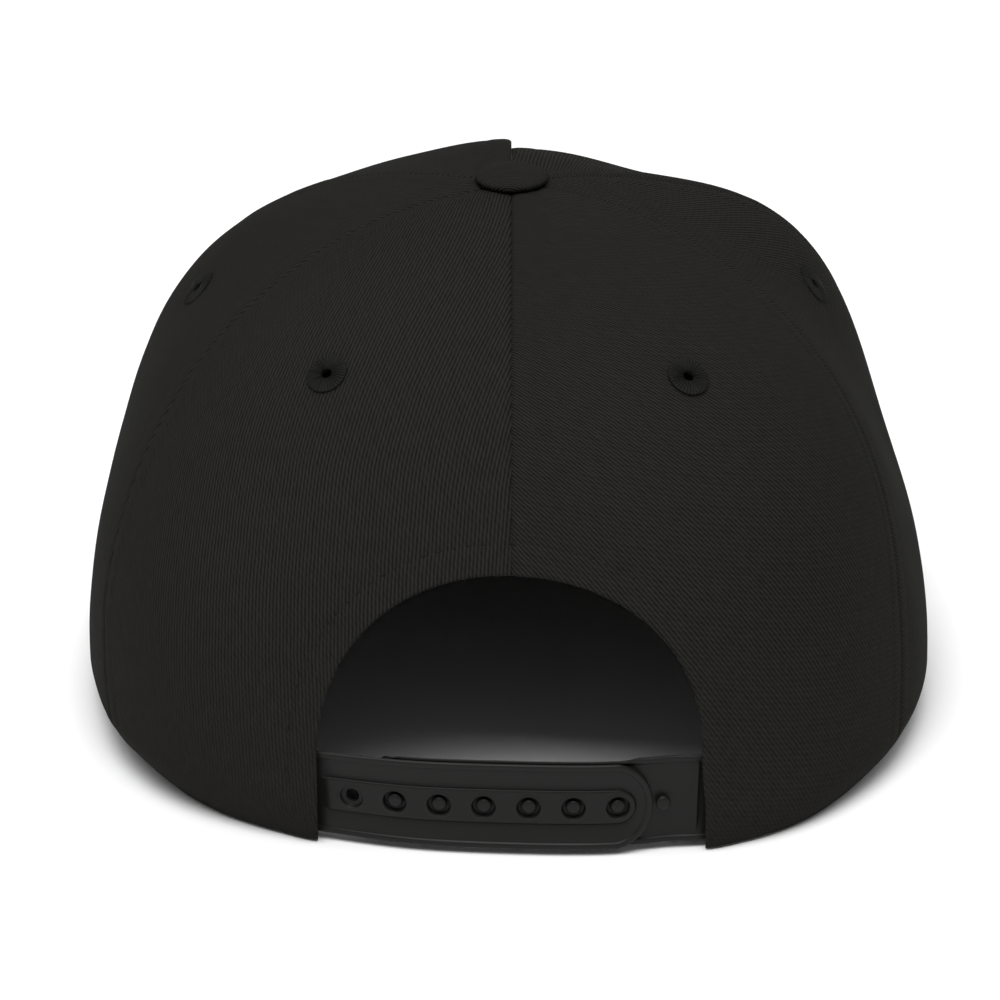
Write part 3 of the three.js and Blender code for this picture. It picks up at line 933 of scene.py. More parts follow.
@dataclass
class CrownPanel:
    """One sewn panel of the crown, its seams rolled in and its hems turned under."""

    side: str
    start: Seam
    end: Seam
    rib_degrees: float
    grain: float = 0.5
    grain_top: float = 0.5
    arch: int = 0
    rib_mm: float = 0.8
    wall: float = 1.3
    roll: float = 0.5
    tucked_roll: float = 0.1
    ridge: float = 0.14
    edge_columns: int = 11
    middle_columns: int = 42
    rows: int = 186
    punch_radius: float = 2.3
    arch_share: float = 0.56
    arch_crown_share: float = 0.8

    @property
    def node(self) -> str:
        """Name of the CAD node that the panel stands for."""
        return f"crown_{self.side}"

    @property
    def stepped(self) -> bool:
        """Whether the panel may stand proud at the front seam."""
        return self.side != "front_right"

    def _shares(self) -> tuple[Array, Array]:
        """Columns and rows of the panel's grid as shares, closer together at its edges."""
        edge = 0.075 * np.linspace(0, 1, self.edge_columns + 1) ** 1.25
        middle = np.linspace(0.075, 0.925, self.middle_columns + 1)[1:-1]
        across = np.concatenate([edge, middle, 1 - edge[::-1]])
        close = 1 - np.array([0.0095, 0.0068, 0.0045, 0.0028, 0.0014, 0.0005, 0.0])
        down = np.concatenate([np.linspace(0, 0.987, self.rows), close])
        return across, down

    def places(self, crown: CrownForm, across: Array, down: Array) -> tuple[Array, Array]:
        """Turn and fall of the panel's grid.

        Args:
            crown: the crown's form.
            across: shares from the start seam to the end seam.
            down: shares from the button to the lower edge.

        Returns:
            Turns and falls, rows by columns.
        """
        if not self.arch:
            fall = crown.fall_top + (crown.fall_rim - crown.fall_top) * down[:, None]
            start, end = self.start.turn(fall), self.end.turn(fall)
            return start + (end - start) * across, np.repeat(fall, len(across), 1)
        share = across if self.arch > 0 else 1 - across
        seam = self.end if self.arch > 0 else self.start

        def away(turn: Array) -> Array:
            """Turn from the rear seam, on either side."""
            return turn if self.arch > 0 else 360 - turn

        edge_turn, edge_fall = self._rear_edge(crown, share, away(seam.value[1]))
        fall = crown.fall_top + (edge_fall - crown.fall_top) * down[:, None]
        straight = away(seam.turn(fall)) * share
        turn = straight + (edge_turn - away(seam.value[1]) * share) * down[:, None] ** 2
        return away(turn), fall

    def _rear_edge(self, crown: CrownForm, share: Array, seam_turn: float) -> tuple[Array, Array]:
        """Lower edge of a rear panel: the arch, and then the rim beside it."""
        along = np.clip(share / self.arch_share, 0, 1)
        angle = np.clip(along / self.arch_crown_share, 0, 1) * math.pi / 2
        span = crown.arch_top - crown.arch_springs
        height = crown.arch_springs + span * np.cos(angle) ** (2 / crown.arch_power)
        below = along > self.arch_crown_share
        straight = crown.arch_springs * (1 - along) / (1 - self.arch_crown_share)
        height = np.where(below, straight, height)
        turn = crown.arch_turn(height, self.arch)
        fall = crown.fall_at(height, turn * self.arch)
        corner = crown.arch_turn(np.array([0.0]), self.arch)[0]
        past = share >= self.arch_share
        beside = corner + (seam_turn - corner) * (share - self.arch_share) / (1 - self.arch_share)
        return np.where(past, beside, turn), np.where(past, crown.fall_rim, fall)

    def build(self, crown: CrownForm, needles: Array, eyelet: EyeletPlace) -> bpy.types.Object:
        """Make the panel as a wall of cloth.

        Args:
            crown: the crown's form.
            needles: every point of the crown where thread enters the cloth.
            eyelet: the panel's eyelet.

        Returns:
            The finished piece.
        """
        across, down = self._shares()
        turn, fall = self.places(crown, across, down)
        base = crown.point(turn, fall, self.stepped)
        normal = crown.normal(turn, fall, self.stepped)
        hole = crown.point(eyelet.turn, eyelet.fall)
        lift = self._relief(base, needles, hole)
        sheet = base + normal * lift[..., None]
        obj = mapped_grid(f"panel_{self.side}", sheet, self._weave(crown, turn, fall))
        apply_modifier(obj, "SOLIDIFY", thickness=self.wall * MM, offset=-1)
        self._punch(obj, hole, crown.normal(eyelet.turn, eyelet.fall))
        soften(obj, 70)
        return obj

    def _punch(self, obj: bpy.types.Object, hole: Array, up: Array) -> None:
        """Cut the eyelet's round hole through the cloth.

        Args:
            obj: the panel.
            hole: the hole's middle.
            up: the cloth's normal there.
        """
        bpy.ops.object.select_all(action="DESELECT")
        bpy.ops.mesh.primitive_cylinder_add(
            vertices=24, radius=self.punch_radius * MM, depth=10 * MM, location=hole * MM
        )
        cutter = bpy.context.object
        cutter.rotation_mode = "QUATERNION"
        cutter.rotation_quaternion = Vector(up).to_track_quat("Z", "Y")
        apply_modifier(obj, "BOOLEAN", object=cutter, operation="DIFFERENCE", solver="EXACT")
        bpy.data.objects.remove(cutter)

    def _relief(self, base: Array, needles: Array, hole: Array) -> Array:
        """How far the cloth stands out from the crown's form.

        Args:
            base: the panel's grid on the form, rows by columns by 3.
            needles: points where thread enters the cloth.
            hole: the eyelet's middle.

        Returns:
            Millimetres outwards, rows by columns.
        """
        points = base.reshape(-1, 3)
        lift = slack(points)
        for line, seam, seed in ((base[:, 0], self.start, 11), (base[:, -1], self.end, 12)):
            gap, along = nearest(points, line)
            uneven = ripple(along[:, None] * [1, 0, 0], 9, seed)
            tucked = seam is Seam.FRONT and not self.stepped
            roll = self.tucked_roll if tucked else self.roll
            lift -= roll * (1 - np.clip(gap / 0.8, 0, 1)) ** 2
            lift += (
                self.ridge
                * (1 + 0.4 * uneven)
                * smooth(gap, 0.4, 1.8)
                * (1 - smooth(gap, ROW_FROM_SEAM - 1.0, ROW_FROM_SEAM + 0.5))
            )
            lift -= 0.05 * bump_at(gap, ROW_FROM_SEAM, 0.7)
        gap, along = nearest(points, base[-1])
        lift -= 0.5 * (1 - np.clip(gap / 0.9, 0, 1)) ** 2.2
        if self.arch:
            corner = self._corner_column()
            edge = base[-1, : corner + 1] if self.arch > 0 else base[-1, corner:]
            gap, along = nearest(points, edge)
            uneven = ripple(along[:, None] * [1, 0, 0], 11, 21)
            padded = 1 - smooth(gap, ROW_FROM_ARCH - 1.0, ROW_FROM_ARCH + 0.4)
            lift += 0.15 * (1 + 0.35 * uneven) * padded
            lift -= 0.1 * bump_at(gap, ROW_FROM_ARCH, 0.7)
        lift -= 0.14 * bump_at(from_spots(points, needles), 0, 0.75)
        from_hole = np.linalg.norm(points - hole, axis=1)
        lift -= 0.15 * (1 - smooth(from_hole, 3.5, 8.0))
        return lift.reshape(base.shape[:2])

    def _corner_column(self) -> int:
        """Column of the panel's grid at the foot of the arch."""
        across, _ = self._shares()
        share = self.arch_share if self.arch > 0 else 1 - self.arch_share
        return int(np.abs(across - share).argmin())

    def _grain_line(self, fall: Array) -> Array:
        """Turn of the line down the panel that the grain is laid by."""
        start = self.start.turn(fall)
        share = self.grain + (self.grain_top - self.grain) * (1 - smooth(fall, 0.1, 0.6))
        return start + (self.end.turn(fall) - start) * share

    def _weave(self, crown: CrownForm, turn: Array, fall: Array) -> Array:
        """Weave map of the panel, as if it were cut flat on its grain line.

        Args:
            crown: the crown's form.
            turn: turns of the panel's grid.
            fall: falls of the panel's grid.

        Returns:
            Ribs crossed and ribs' lengths run, rows by columns by 2.
        """
        levels = np.linspace(crown.fall_top, crown.fall_rim, 200)
        middle = self._grain_line(levels)
        down = np.interp(fall, levels, lengths_along(crown.point(middle, levels)))
        centre = self._grain_line(fall)
        steps = np.linspace(0, 1, 13)
        turns = centre[..., None] + (turn - centre)[..., None] * steps
        # Below the widest level the cloth only tips inwards, so its ribs run straight on.
        path = crown.point(turns, np.minimum(fall, 1.0)[..., None])
        arc = np.linalg.norm(np.diff(path, axis=2), axis=3).sum(2)
        right = -np.sign(turn - centre) * arc
        angle = math.radians(self.rib_degrees)
        crossed = right * math.sin(angle) + down * math.cos(angle)
        run = right * math.cos(angle) - down * math.sin(angle)
        return np.stack([crossed, run], -1) / self.rib_mm


@dataclass
class Crown:
    """The six panels with their stitching, eyelets and button."""

    form: CrownForm
    button_clear: float = 8.8
    panels: list[CrownPanel] = field(
        default_factory=lambda: [
            CrownPanel("rear_left", Seam.REAR, Seam.REAR_LEFT, 92, 0.3, 0.14, arch=1),
            CrownPanel("side_left", Seam.REAR_LEFT, Seam.FRONT_LEFT, 90),
            CrownPanel("front_left", Seam.FRONT_LEFT, Seam.FRONT, 150, wall=2.4),
            CrownPanel("front_right", Seam.FRONT, Seam.FRONT_RIGHT, 117),
            CrownPanel("side_right", Seam.FRONT_RIGHT, Seam.REAR_RIGHT, 135),
            CrownPanel("rear_right", Seam.REAR_RIGHT, Seam.REAR_AGAIN, 128, 0.2, 0.2, arch=-1),
        ]
    )

    def build(self, twill: bpy.types.Material, thread: bpy.types.Material) -> None:
        """Make and dress every piece of the crown."""
        rows = self.stitch_rows()
        needles = np.concatenate([row.needle_holes() for row in rows])
        for panel in self.panels:
            eyelet = next(e for e in EYELETS if e.side == panel.side)
            hand_over(panel.build(self.form, needles, eyelet), twill, "twill", panel.node)
        hand_over(Stitching("crown_stitching", rows).build(), thread, "thread")
        for eyelet in EYELETS:
            piece = ThreadEyelet(eyelet).build(self.form)
            hand_over(piece, thread, "thread", f"eyelet_{eyelet.side}")
        hand_over(CoveredButton().build(self.form), twill, "twill", "crown_button")

    def stitch_rows(self) -> list[StitchRow]:
        """Rows on both sides of each seam, and the row round the arch."""
        form, rows = self.form, []
        arch_fall = form.fall_at(np.array([form.arch_top + ROW_FROM_ARCH]), np.array([0.0]))[0]
        for seam in list(Seam)[:-1]:
            last = arch_fall if seam is Seam.REAR else form.fall_rim - 0.004
            fall = np.linspace(0.04, last, 500)
            turn = seam.turn(fall)
            degree = form.point(turn + 0.5, fall) - form.point(turn - 0.5, fall)
            per_degree = np.linalg.norm(degree, axis=1)
            for side in (-1, 1):
                stepped = not (seam is Seam.FRONT and side > 0)
                beside = turn + side * ROW_FROM_SEAM / per_degree
                line = form.point(beside, fall, stepped)
                apex = form.shift[:2] + np.array([0, form.apex_behind])
                clear = np.linalg.norm(line[:, :2] - apex, axis=1) > self.button_clear
                up = form.normal(beside, fall, stepped)
                line, up = line[clear], up[clear]
                rows.append(StitchRow(line + up * slack(line)[:, None], up))
        turns, falls = [], []
        for side in (-1, 1):
            turn, fall = form.arch_line(side, ROW_FROM_ARCH, 60)
            turns.append(turn if side > 0 else turn[::-1])
            falls.append(fall if side > 0 else fall[::-1])
        turn = np.concatenate([turns[0], turns[1][1:]])
        fall = np.concatenate([falls[0], falls[1][1:]])
        line, up = form.point(turn, fall), form.normal(turn, fall)
        rows.append(StitchRow(line + up * slack(line)[:, None], up))
        return rows


@dataclass
class ThreadEyelet:
    """A vent eyelet: satin stitches worked close together round a punched hole."""

    place: EyeletPlace
    radius: float = 4.5
    bore: float = 1.15
    proud: float = 0.2
    threads: int = 34
    thread_height: float = 0.28

    def build(self, form: CrownForm) -> bpy.types.Object:
        """Turn the ring, raise its threads and set it in the crown."""
        middle, half = (self.radius + self.bore) / 2, (self.radius - self.bore) / 2
        profile = []
        for i in range(17):
            angle = 2 * math.pi * i / 16
            cosine, sine = math.cos(angle), math.sin(angle)
            soft = math.copysign(abs(cosine) ** 0.8, cosine)
            profile.append((middle + half * soft, self.proud * sine if sine > 0 else 1.6 * sine))
        obj = turned(f"eyelet_ring_{self.place.side}", profile, self.threads * 4)
        points = coordinates(obj)
        angle = np.arctan2(points[:, 1], points[:, 0])
        radial = np.hypot(points[:, 0], points[:, 1])
        draw = np.random.RandomState(int(self.place.turn) % 97)
        uneven = draw.uniform(0.6, 1.2, self.threads)
        thread = (np.floor(angle / (2 * math.pi) * self.threads) % self.threads).astype(int)
        rib = np.abs(np.cos(angle * self.threads / 2)) * uneven[thread]
        points[:, 2] += self.thread_height * rib * (points[:, 2] > -0.2)
        longer = np.where(radial > middle, 0.05 * (uneven[thread] - 0.9), 0)
        points[:, :2] *= (1 + longer)[:, None]
        centre = form.point(self.place.turn, self.place.fall)
        up = form.normal(self.place.turn, self.place.fall)
        side = unit(np.cross([0, 0, 1], up))
        basis = np.stack([side, np.cross(up, side), up])
        move_to(obj, points @ basis + centre)
        soften(obj, 60)
        return obj


@dataclass
class CoveredButton:
    """The button at the top: a low dome covered in twill and gathered under its rim."""

    radius: float = 8.0
    height: float = 3.0
    rim: float = 1.1
    base: float = 116.7
    rib_mm: float = 0.75
    pleats: int = 9
    gather: tuple[float, float] = (0.6, 2.9)

    def build(self, form: CrownForm) -> bpy.types.Object:
        """Turn the dome, set it on the crown and map its cloth."""
        profile = [(0.0, -3.0), (2.3, -3.0), (2.3, 0.15), (6.6, 0.1), (7.5, 0.2)]
        for i in range(13):
            angle = math.pi / 2 * i / 12
            bulge = self.rim + (self.height - self.rim) * math.sin(angle) ** 0.9
            profile.append((self.radius * math.cos(angle) ** 0.92 if i < 12 else 0.0, bulge))
        profile.insert(5, (7.9, 0.55))
        obj = turned("covered_button", profile, 72)
        points = coordinates(obj)
        angle = np.arctan2(points[:, 1], points[:, 0])
        low = 1 - smooth(points[:, 2], 0.2, 1.3)
        ring = np.hypot(points[:, 0], points[:, 1]) > 6
        pleat = low * ring * np.abs(np.sin(self.pleats * angle))
        points[:, :2] *= (1 - 0.02 * pleat)[:, None]
        # The cover is drawn tight over its rear edge, so that its ribs bow round a spot there.
        aside = points[:, 0] - self.gather[0]
        over = points[:, 2] + self.radius - points[:, 1] + self.gather[1]
        far = np.hypot(aside, over)
        round_it = np.arctan2(aside, over) * self.radius
        set_weave(obj, np.stack([far, round_it], 1) / self.rib_mm)
        apex = form.shift + np.array([0, form.apex_behind, self.base])
        move_to(obj, points + apex)
        soften(obj, 60)
        return obj


@dataclass
class Bill:
    """The flat bill: board covered in twill on both sides, with rows of stitching."""

    form: CrownForm
    thickness: float = 4.0
    length: float = 68.0
    half_width: float = 88.0
    widest_y: float = -76.0
    under_wall: float = 2.5
    rows_of_stitches: int = 8
    first_row: float = 3.6
    row_pitch: float = 6.0
    stitch_pitch: float = 3.6
    rib_mm: float = 0.8
    columns: int = 150
    rows: int = 77
    edge_round: float = 1.9
    edge_shares: tuple[float, ...] = (0.03, 0.021, 0.014, 0.008, 0.0035, 0.001, 0.0)

    def outline(self) -> Array:
        """Outer edge from the left corner round the front to the right one, with z 0."""
        form = self.form
        corner = form.point(form.bill_turn, form.fall_rim, False) - form.shift
        front = (form.point(180, form.fall_rim, False) - form.shift)[1] - self.length
        side = [
            (corner[0], corner[1]),
            (corner[0] + 6, corner[1] - 9),
            (self.half_width, self.widest_y + 16),
            (self.half_width, self.widest_y),
        ]
        tip = [side[-1], (self.half_width, self.widest_y - 50), (56, front), (0, front)]
        t = np.linspace(0, 1, 160)[:, None]
        half = []
        for a, b, c, d in (side, tip):
            a, b, c, d = (np.array(p, float) for p in (a, b, c, d))
            half.append(
                (1 - t) ** 3 * a + 3 * (1 - t) ** 2 * t * b + 3 * (1 - t) * t**2 * c + t**3 * d
            )
        left = np.concatenate([half[0], half[1][1:]])
        plan = np.concatenate([left, (left * [-1, 1])[::-1][1:]])
        return np.column_stack([plan, np.zeros(len(plan))]) + form.shift * [1, 1, 0]

    def build(self, twill: bpy.types.Material, thread: bpy.types.Material) -> None:
        """Make and dress the bill and its stitching."""
        edge = self.outline()
        lines = self._lines(edge)
        across = np.linspace(0, 1, self.columns + 1)
        along = lengths_along(edge)
        outer = np.stack([np.interp(across * along[-1], along, edge[:, i]) for i in range(3)], 1)
        turn = self.form.bill_turn + (360 - 2 * self.form.bill_turn) * across
        rim = np.full(len(across), self.form.fall_rim)
        inner = self.form.skin(turn, rim, -self.under_wall, False)
        inner[:, 2] = 0
        share = np.append(np.linspace(0, 0.962, self.rows), 1 - np.array(self.edge_shares))
        flat = inner + (outer - inner) * share[:, None, None]
        obj = mapped_grid("bill_covered", flat[:, ::-1] + [0, 0, self.thickness / 2])
        apply_modifier(obj, "SOLIDIFY", thickness=self.thickness * MM, offset=0)
        points = coordinates(obj)
        top = points[:, 2] > self.thickness / 2
        points[:, 2] = 0
        gap, _ = nearest(points, edge)
        inset = 1 - np.clip(gap / self.edge_round, 0, 1)
        rounded = np.sqrt(np.clip(1 - inset**2, 0, 1))
        half = self.thickness / 2 * rounded
        groove = np.zeros(len(points))
        for line in lines:
            groove = np.maximum(groove, bump_at(nearest(points, line)[0], 0, 0.75))
        padded = 0.05 * ripple(points, 23, 31)
        needles = np.concatenate([row.needle_holes() for row in self._rows(lines, 0, 1)])
        pulled = 0.28 * groove + 0.14 * bump_at(from_spots(points, needles), 0, 0.7)
        lift = (half - pulled * rounded + np.where(top, padded, 0)) * np.where(top, 1, -1)
        points[:, 2] = self.thickness / 2 + lift
        move_to(obj, points)
        # The twill's ribs run at 60 degrees to the bill's length.
        weave = points[:, :2] @ np.array([[0.87, -0.5], [0.5, 0.87]])
        set_weave(obj, weave / self.rib_mm)
        face_out(obj, 2e-6)
        soften(obj, 60)
        hand_over(obj, twill, "twill", "bill")
        rows_top = self._rows(lines, self.thickness - 0.22, 1)
        rows_under = self._rows(lines, 0.22, -1)
        hand_over(
            Stitching("bill_stitching", rows_top + rows_under, lift=0.12).build(), thread, "thread"
        )

    def _lines(self, edge: Array) -> list[Array]:
        """Lines of the stitch rows, parallel to the outer edge, up to the crown."""
        along = unit(np.gradient(edge, axis=0))
        inward = np.stack([along[:, 1], -along[:, 0], along[:, 2]], 1)
        if (inward[len(edge) // 2] @ [0, 1, 0]) < 0:
            inward = -inward
        lines = []
        for number in range(self.rows_of_stitches):
            line = edge + inward * (self.first_row + number * self.row_pitch)
            raw = line - self.form.shift
            turn = np.degrees(np.arctan2(raw[:, 0], raw[:, 1]))
            falls = np.full(len(turn), self.form.fall_rim)
            rim = self.form.point(turn, falls, False) - self.form.shift
            clear = np.hypot(raw[:, 0], raw[:, 1]) > np.hypot(rim[:, 0], rim[:, 1]) + 0.8
            clear &= np.cos(np.radians(turn)) < math.cos(math.radians(100))
            lines.append(line[clear])
        return lines

    def _rows(self, lines: list[Array], height: float, way: int) -> list[StitchRow]:
        """Stitch rows on one face of the bill.

        Args:
            lines: the rows' lines in plan.
            height: height of the thread's line.
            way: 1 on top, -1 underneath.

        Returns:
            The rows.
        """
        up = np.array([0.0, 0.0, float(way)])
        return [
            StitchRow(line + [0, 0, height], np.tile(up, (len(line), 1)), self.stitch_pitch)
            for line in lines
        ]


@dataclass
class Sweatband:
    """The band inside the rim, folded at its lower edge and stitched near its top."""

    form: CrownForm
    thickness: float = 1.2
    top: float = 0.86
    bottom: float = 1.13
    turn: float = 19.0
    cut_down: float = 0.098
    depth: float = 2.9
    beside_strap: float = 4.1
    unstitched: float = 15.0

    def build(self, cloth: bpy.types.Material, thread: bpy.types.Material) -> None:
        """Make and dress the band and its stitching."""
        across, down = np.linspace(0, 1, 181), np.linspace(0, 1, 27)
        turn = self.turn + (360 - 2 * self.turn) * across[None] + 0 * down[:, None]
        # Its ends are cut down, and hide behind the strap.
        top = self.top + self.cut_down * (1 - smooth(from_rear(turn), 27, 33))
        fall = top + (self.bottom - top) * down[:, None]
        base = self.form.point(turn, fall, False)
        middle_depth = self._depth(turn) + self.thickness / 2
        sheet = self.form.skin(turn, fall, -middle_depth, False)
        soft = 0.12 * ripple(base.reshape(-1, 3), 14, 41).reshape(turn.shape)
        sheet = sheet + self.form.normal(turn, fall, False) * soft[..., None]
        run = lengths_along(sheet[len(down) // 2])
        drop = lengths_along(sheet[:, len(across) // 2])
        obj = mapped_grid("sweatband_cloth", sheet, np.stack(np.meshgrid(run, drop), -1))
        apply_modifier(obj, "SOLIDIFY", thickness=(self.thickness - 0.35) * MM, offset=0)
        sharp = math.radians(60)
        apply_modifier(
            obj, "BEVEL", width=0.3 * MM, segments=2, limit_method="ANGLE", angle_limit=sharp
        )
        soften(obj, 60)
        hand_over(obj, cloth, "band_cloth", "sweatband")
        first = self.turn + self.unstitched
        turns = np.linspace(first, 360 - first, 700)
        falls = np.full(len(turns), self.top + 0.03)
        inside = -self._depth(turns) - self.thickness + 0.15
        line = self.form.skin(turns, falls, inside, False)
        rows = [StitchRow(line, -self.form.normal(turns, falls, False))]
        hand_over(Stitching("band_stitching", rows).build(), thread, "thread")

    def _depth(self, turn: Array) -> Array:
        """Depth of the band's outside under the crown's, which clears the strap's ends."""
        return self.depth + self.beside_strap * (1 - smooth(from_rear(turn), 38, 52))


@dataclass
class SnapStraps:
    """The plastic snap strap: one half with holes laps over the other, with pegs.

    On a strap x runs to the right as seen from behind, y up and z out of its face.
    """

    form: CrownForm
    top: float = 0.9375
    bottom: float = 1.1336
    half_height: float = 10.05
    taller: float = 0.6
    thickness: float = 1.2
    outer_depth: float = 2.3
    bulge: float = 0.6
    lap: float = 1.35
    first_hole: float = -34.4
    pitch: float = 9.5
    holes: int = 7
    bore: float = 1.5
    recess: float = 2.5
    track: float = 3.6
    track_height: float = 0.35
    end_round: float = 8.7
    outer_end: float = 30.2
    inner_end: float = -31.5
    inner_round: float = 8.5
    sewn: float = 50.0
    rib_at: float = 40.2
    last_peg_aside: float = 0.5
    chamfer: float = 1.1
    side_steps: int = 12
    top_steps: int = 16

    def __post_init__(self) -> None:
        """Measure the strap's middle line from the rear seam both ways."""
        turns = np.arange(-48, 48.01, 0.25)
        line = self._middle(turns)
        along = lengths_along(line)
        self._turns, self._x = turns, -(along - np.interp(0, turns, along))

    def _middle(self, turn: Array) -> Array:
        """Middle of the strap's face at each turn, at the crown's outside."""
        return (self._edge(turn, self.bottom) + self._edge(turn, self.top)) / 2

    def _edge(self, turn: Array, fall: float) -> Array:
        """Crown's outside at one fall."""
        return self.form.point(turn, np.full(np.shape(turn), fall))

    def bend(self, flat: Array, inner: bool) -> Array:
        """Carry points from the flat strap to its place behind the arch.

        Args:
            flat: n by 3 on the flat strap.
            inner: whether it is the strap with pegs.

        Returns:
            n by 3 in the frame, in millimetres.
        """
        turn = np.interp(flat[:, 0], self._x[::-1], self._turns[::-1])
        low, high = self._edge(turn, self.bottom), self._edge(turn, self.top)
        right = unit(self._middle(turn - 0.5) - self._middle(turn + 0.5))
        up = unit(high - low)
        out = np.cross(right, up)
        depth = self.outer_depth - self.bulge * (1 - smooth(np.abs(flat[:, 0]), 16, 38))
        if inner:
            depth = depth + self.lap * (1 - smooth(flat[:, 0], 33, 44))
        share = 0.5 + flat[:, 1:2] / (2 * self.half_height)
        return low + (high - low) * share + out * (flat[:, 2] - depth)[:, None]

    def build(self, plastic: bpy.types.Material) -> None:
        """Make and dress both halves."""
        hand_over(self._holed(), plastic, "strap_plastic", "strap_with_holes")
        hand_over(self._pegged(), plastic, "strap_plastic", "strap_with_pegs")

    def _rings(self, free: bool) -> list[tuple[float, float]]:
        """Radius and height of the rings round a hole, from the bore outwards.

        Args:
            free: whether no peg stands in the hole, which then keeps its shallow seat.

        Returns:
            Pairs of radius and height in millimetres.
        """
        top = self.track_height
        floor = top - (0.7 if free else 1.3)
        lip = top + 0.14
        return [
            (self.bore, floor - 0.1),
            (self.bore + 0.05, floor - 0.02),
            (self.bore + 0.14, floor),
            (self.recess - 0.18, floor),
            (self.recess - 0.08, floor + 0.08),
            (self.recess - 0.02, floor + 0.3),
            (self.recess + 0.04, lip - 0.12),
            (self.recess + 0.12, lip - 0.02),
            (self.recess + 0.3, lip),
            (self.recess + 0.5, lip - 0.03),
            (self.recess + 0.7, top + 0.02),
            (self.recess + 0.85, top),
        ]

    def _borders(self) -> tuple[list[tuple[float, float]], list[tuple[float, float]]]:
        """Steps of the plate's relief: out from the track, and in from the edge.

        Returns:
            Pairs of distance and height from the track's edge, and from the outline.
        """
        top = self.track_height
        track = [(0.0, top - 0.01), (0.08, top - 0.07), (0.16, -0.08), (0.3, -0.2), (0.5, -0.04)]
        edge = [
            (1.75, 0.0),
            (1.62, 0.03),
            (1.5, 0.16),
            (1.4, 0.32),
            (1.22, 0.42),
            (0.6, 0.44),
            (0.3, 0.38),
            (0.12, 0.2),
            (0.0, -0.12),
        ]
        return track, edge

    def _cell(self, centre: float, last: bool) -> tuple[Array, list[tuple[int, ...]]]:
        """Mesh of one pitch of the strap round a hole.

        Args:
            centre: the hole's place along the strap.
            last: whether it is the free end, with a round outline.

        Returns:
            Points, and faces as tuples of indices.
        """
        half = self.pitch / 2
        side = np.linspace(-1, 1, self.side_steps + 1)[:-1]
        across = np.linspace(-1, 1, self.top_steps + 1)[:-1]
        border = (
            [(half, self.track * s) for s in side]
            + [(-half * a, self.track) for a in across]
            + [(-half, -self.track * s) for s in side]
            + [(half * a, -self.track) for a in across]
        )
        border = np.array(border)
        outline = np.where(
            np.abs(border[:, 1:2]) >= self.track - 1e-9,
            border * [1, self.half_height / self.track],
            border,
        )
        count = len(border)
        strip = np.abs(border[:, 1]) >= self.track - 1e-9
        if last:
            # The right half fans out from the hole to the round end.
            right = [i for i in range(count) if border[i, 0] > 1e-9]
            quarter = self.top_steps // 2
            turn_steps = self.side_steps + 2 * quarter
            for i in right:
                step = (i + quarter) % count
                angle = -math.pi / 2 + math.pi * step / turn_steps
                way = np.array([math.cos(angle), math.sin(angle)])
                border[i] = way * self.track
                outline[i] = way * self._reach(centre, way)
            strip = strip | (border[:, 0] > 1e-9)
        angles = np.arctan2(border[:, 1], border[:, 0])
        circle = np.stack([np.cos(angles), np.sin(angles)], 1)
        rings = self._rings(centre == self.first_hole)
        layers = [np.column_stack([circle * r, np.full(count, z)]) for r, z in rings]
        rim = rings[-1][0]
        for share in (0.35, 0.7):
            flat = circle * rim * (1 - share) + border * share
            layers.append(np.column_stack([flat, np.full(count, self.track_height)]))
        track, edge = self._borders()
        ray = outline - border
        long = np.linalg.norm(ray, axis=1, keepdims=True)
        way = np.divide(ray, long, out=np.zeros_like(ray), where=long > 1e-9)
        inner_layers = len(layers)
        for reach, z in track:
            side_z = np.where(strip, z, self.track_height)
            layers.append(np.column_stack([border + way * reach, side_z]))
        for back, z in edge:
            layers.append(np.column_stack([outline - way * back, np.full(count, z)]))
        points = np.concatenate(layers) + [centre, 0, 0]
        faces = []
        for layer in range(len(layers) - 1):
            for i in range(count):
                j = (i + 1) % count
                if layer >= inner_layers and not (self._on_strip(border, i, j, last)):
                    continue
                a, b = layer * count, (layer + 1) * count
                faces.append((a + i, b + i, b + j, a + j))
        return points, faces

    def _on_strip(self, border: Array, i: int, j: int, last: bool) -> bool:
        """Whether the stretch from ray i to ray j goes on past the track."""
        if last and (border[i, 0] > 1e-9 or border[j, 0] > 1e-9):
            return True
        flat = abs(border[i, 1]) >= self.track - 1e-9 and abs(border[j, 1]) >= self.track - 1e-9
        return flat and border[i, 1] * border[j, 1] > 0

    def _reach(self, centre: float, way: Array) -> float:
        """Distance from a hole to the round end's outline, in one direction."""
        middle = self.outer_end - self.end_round - centre
        low, high = 0.0, 3 * self.half_height
        for _ in range(40):
            r = (low + high) / 2
            x, y = way * r
            inside = abs(y) < self.half_height and (
                x < middle
                or ((x - middle) / self.end_round) ** 2 + (y / self.half_height) ** 2 < 1
            )
            low, high = (r, high) if inside else (low, r)
        return low

    def _plain(self, start: float, end: float) -> tuple[Array, list[tuple[int, ...]]]:
        """Plate with a track and beads but no hole, from start to end."""
        columns = np.append(np.linspace(start, end - 2.4, 9), end - np.linspace(2.0, 0, 6))
        raised = smooth(columns, end - 2.2, end - 0.02)
        track, edge = self._borders()
        side = np.linspace(-self.track, self.track, self.side_steps + 1)
        beads = [(self.half_height - d, z, False) for d, z in edge]
        over = [(self.track + d, z, True) for d, z in track] + beads
        rows = (
            [(-y, z, on) for y, z, on in reversed(over)]
            + [(y, self.track_height, True) for y in side[1:-1]]
            + over
        )
        points = np.array(
            [(x, y, z * up if on else z) for x, up in zip(columns, raised) for y, z, on in rows]
        )
        n = len(rows)
        faces = [
            (c * n + r, (c + 1) * n + r, (c + 1) * n + r + 1, c * n + r + 1)
            for c in range(len(columns) - 1)
            for r in range(n - 1)
        ]
        return points, faces

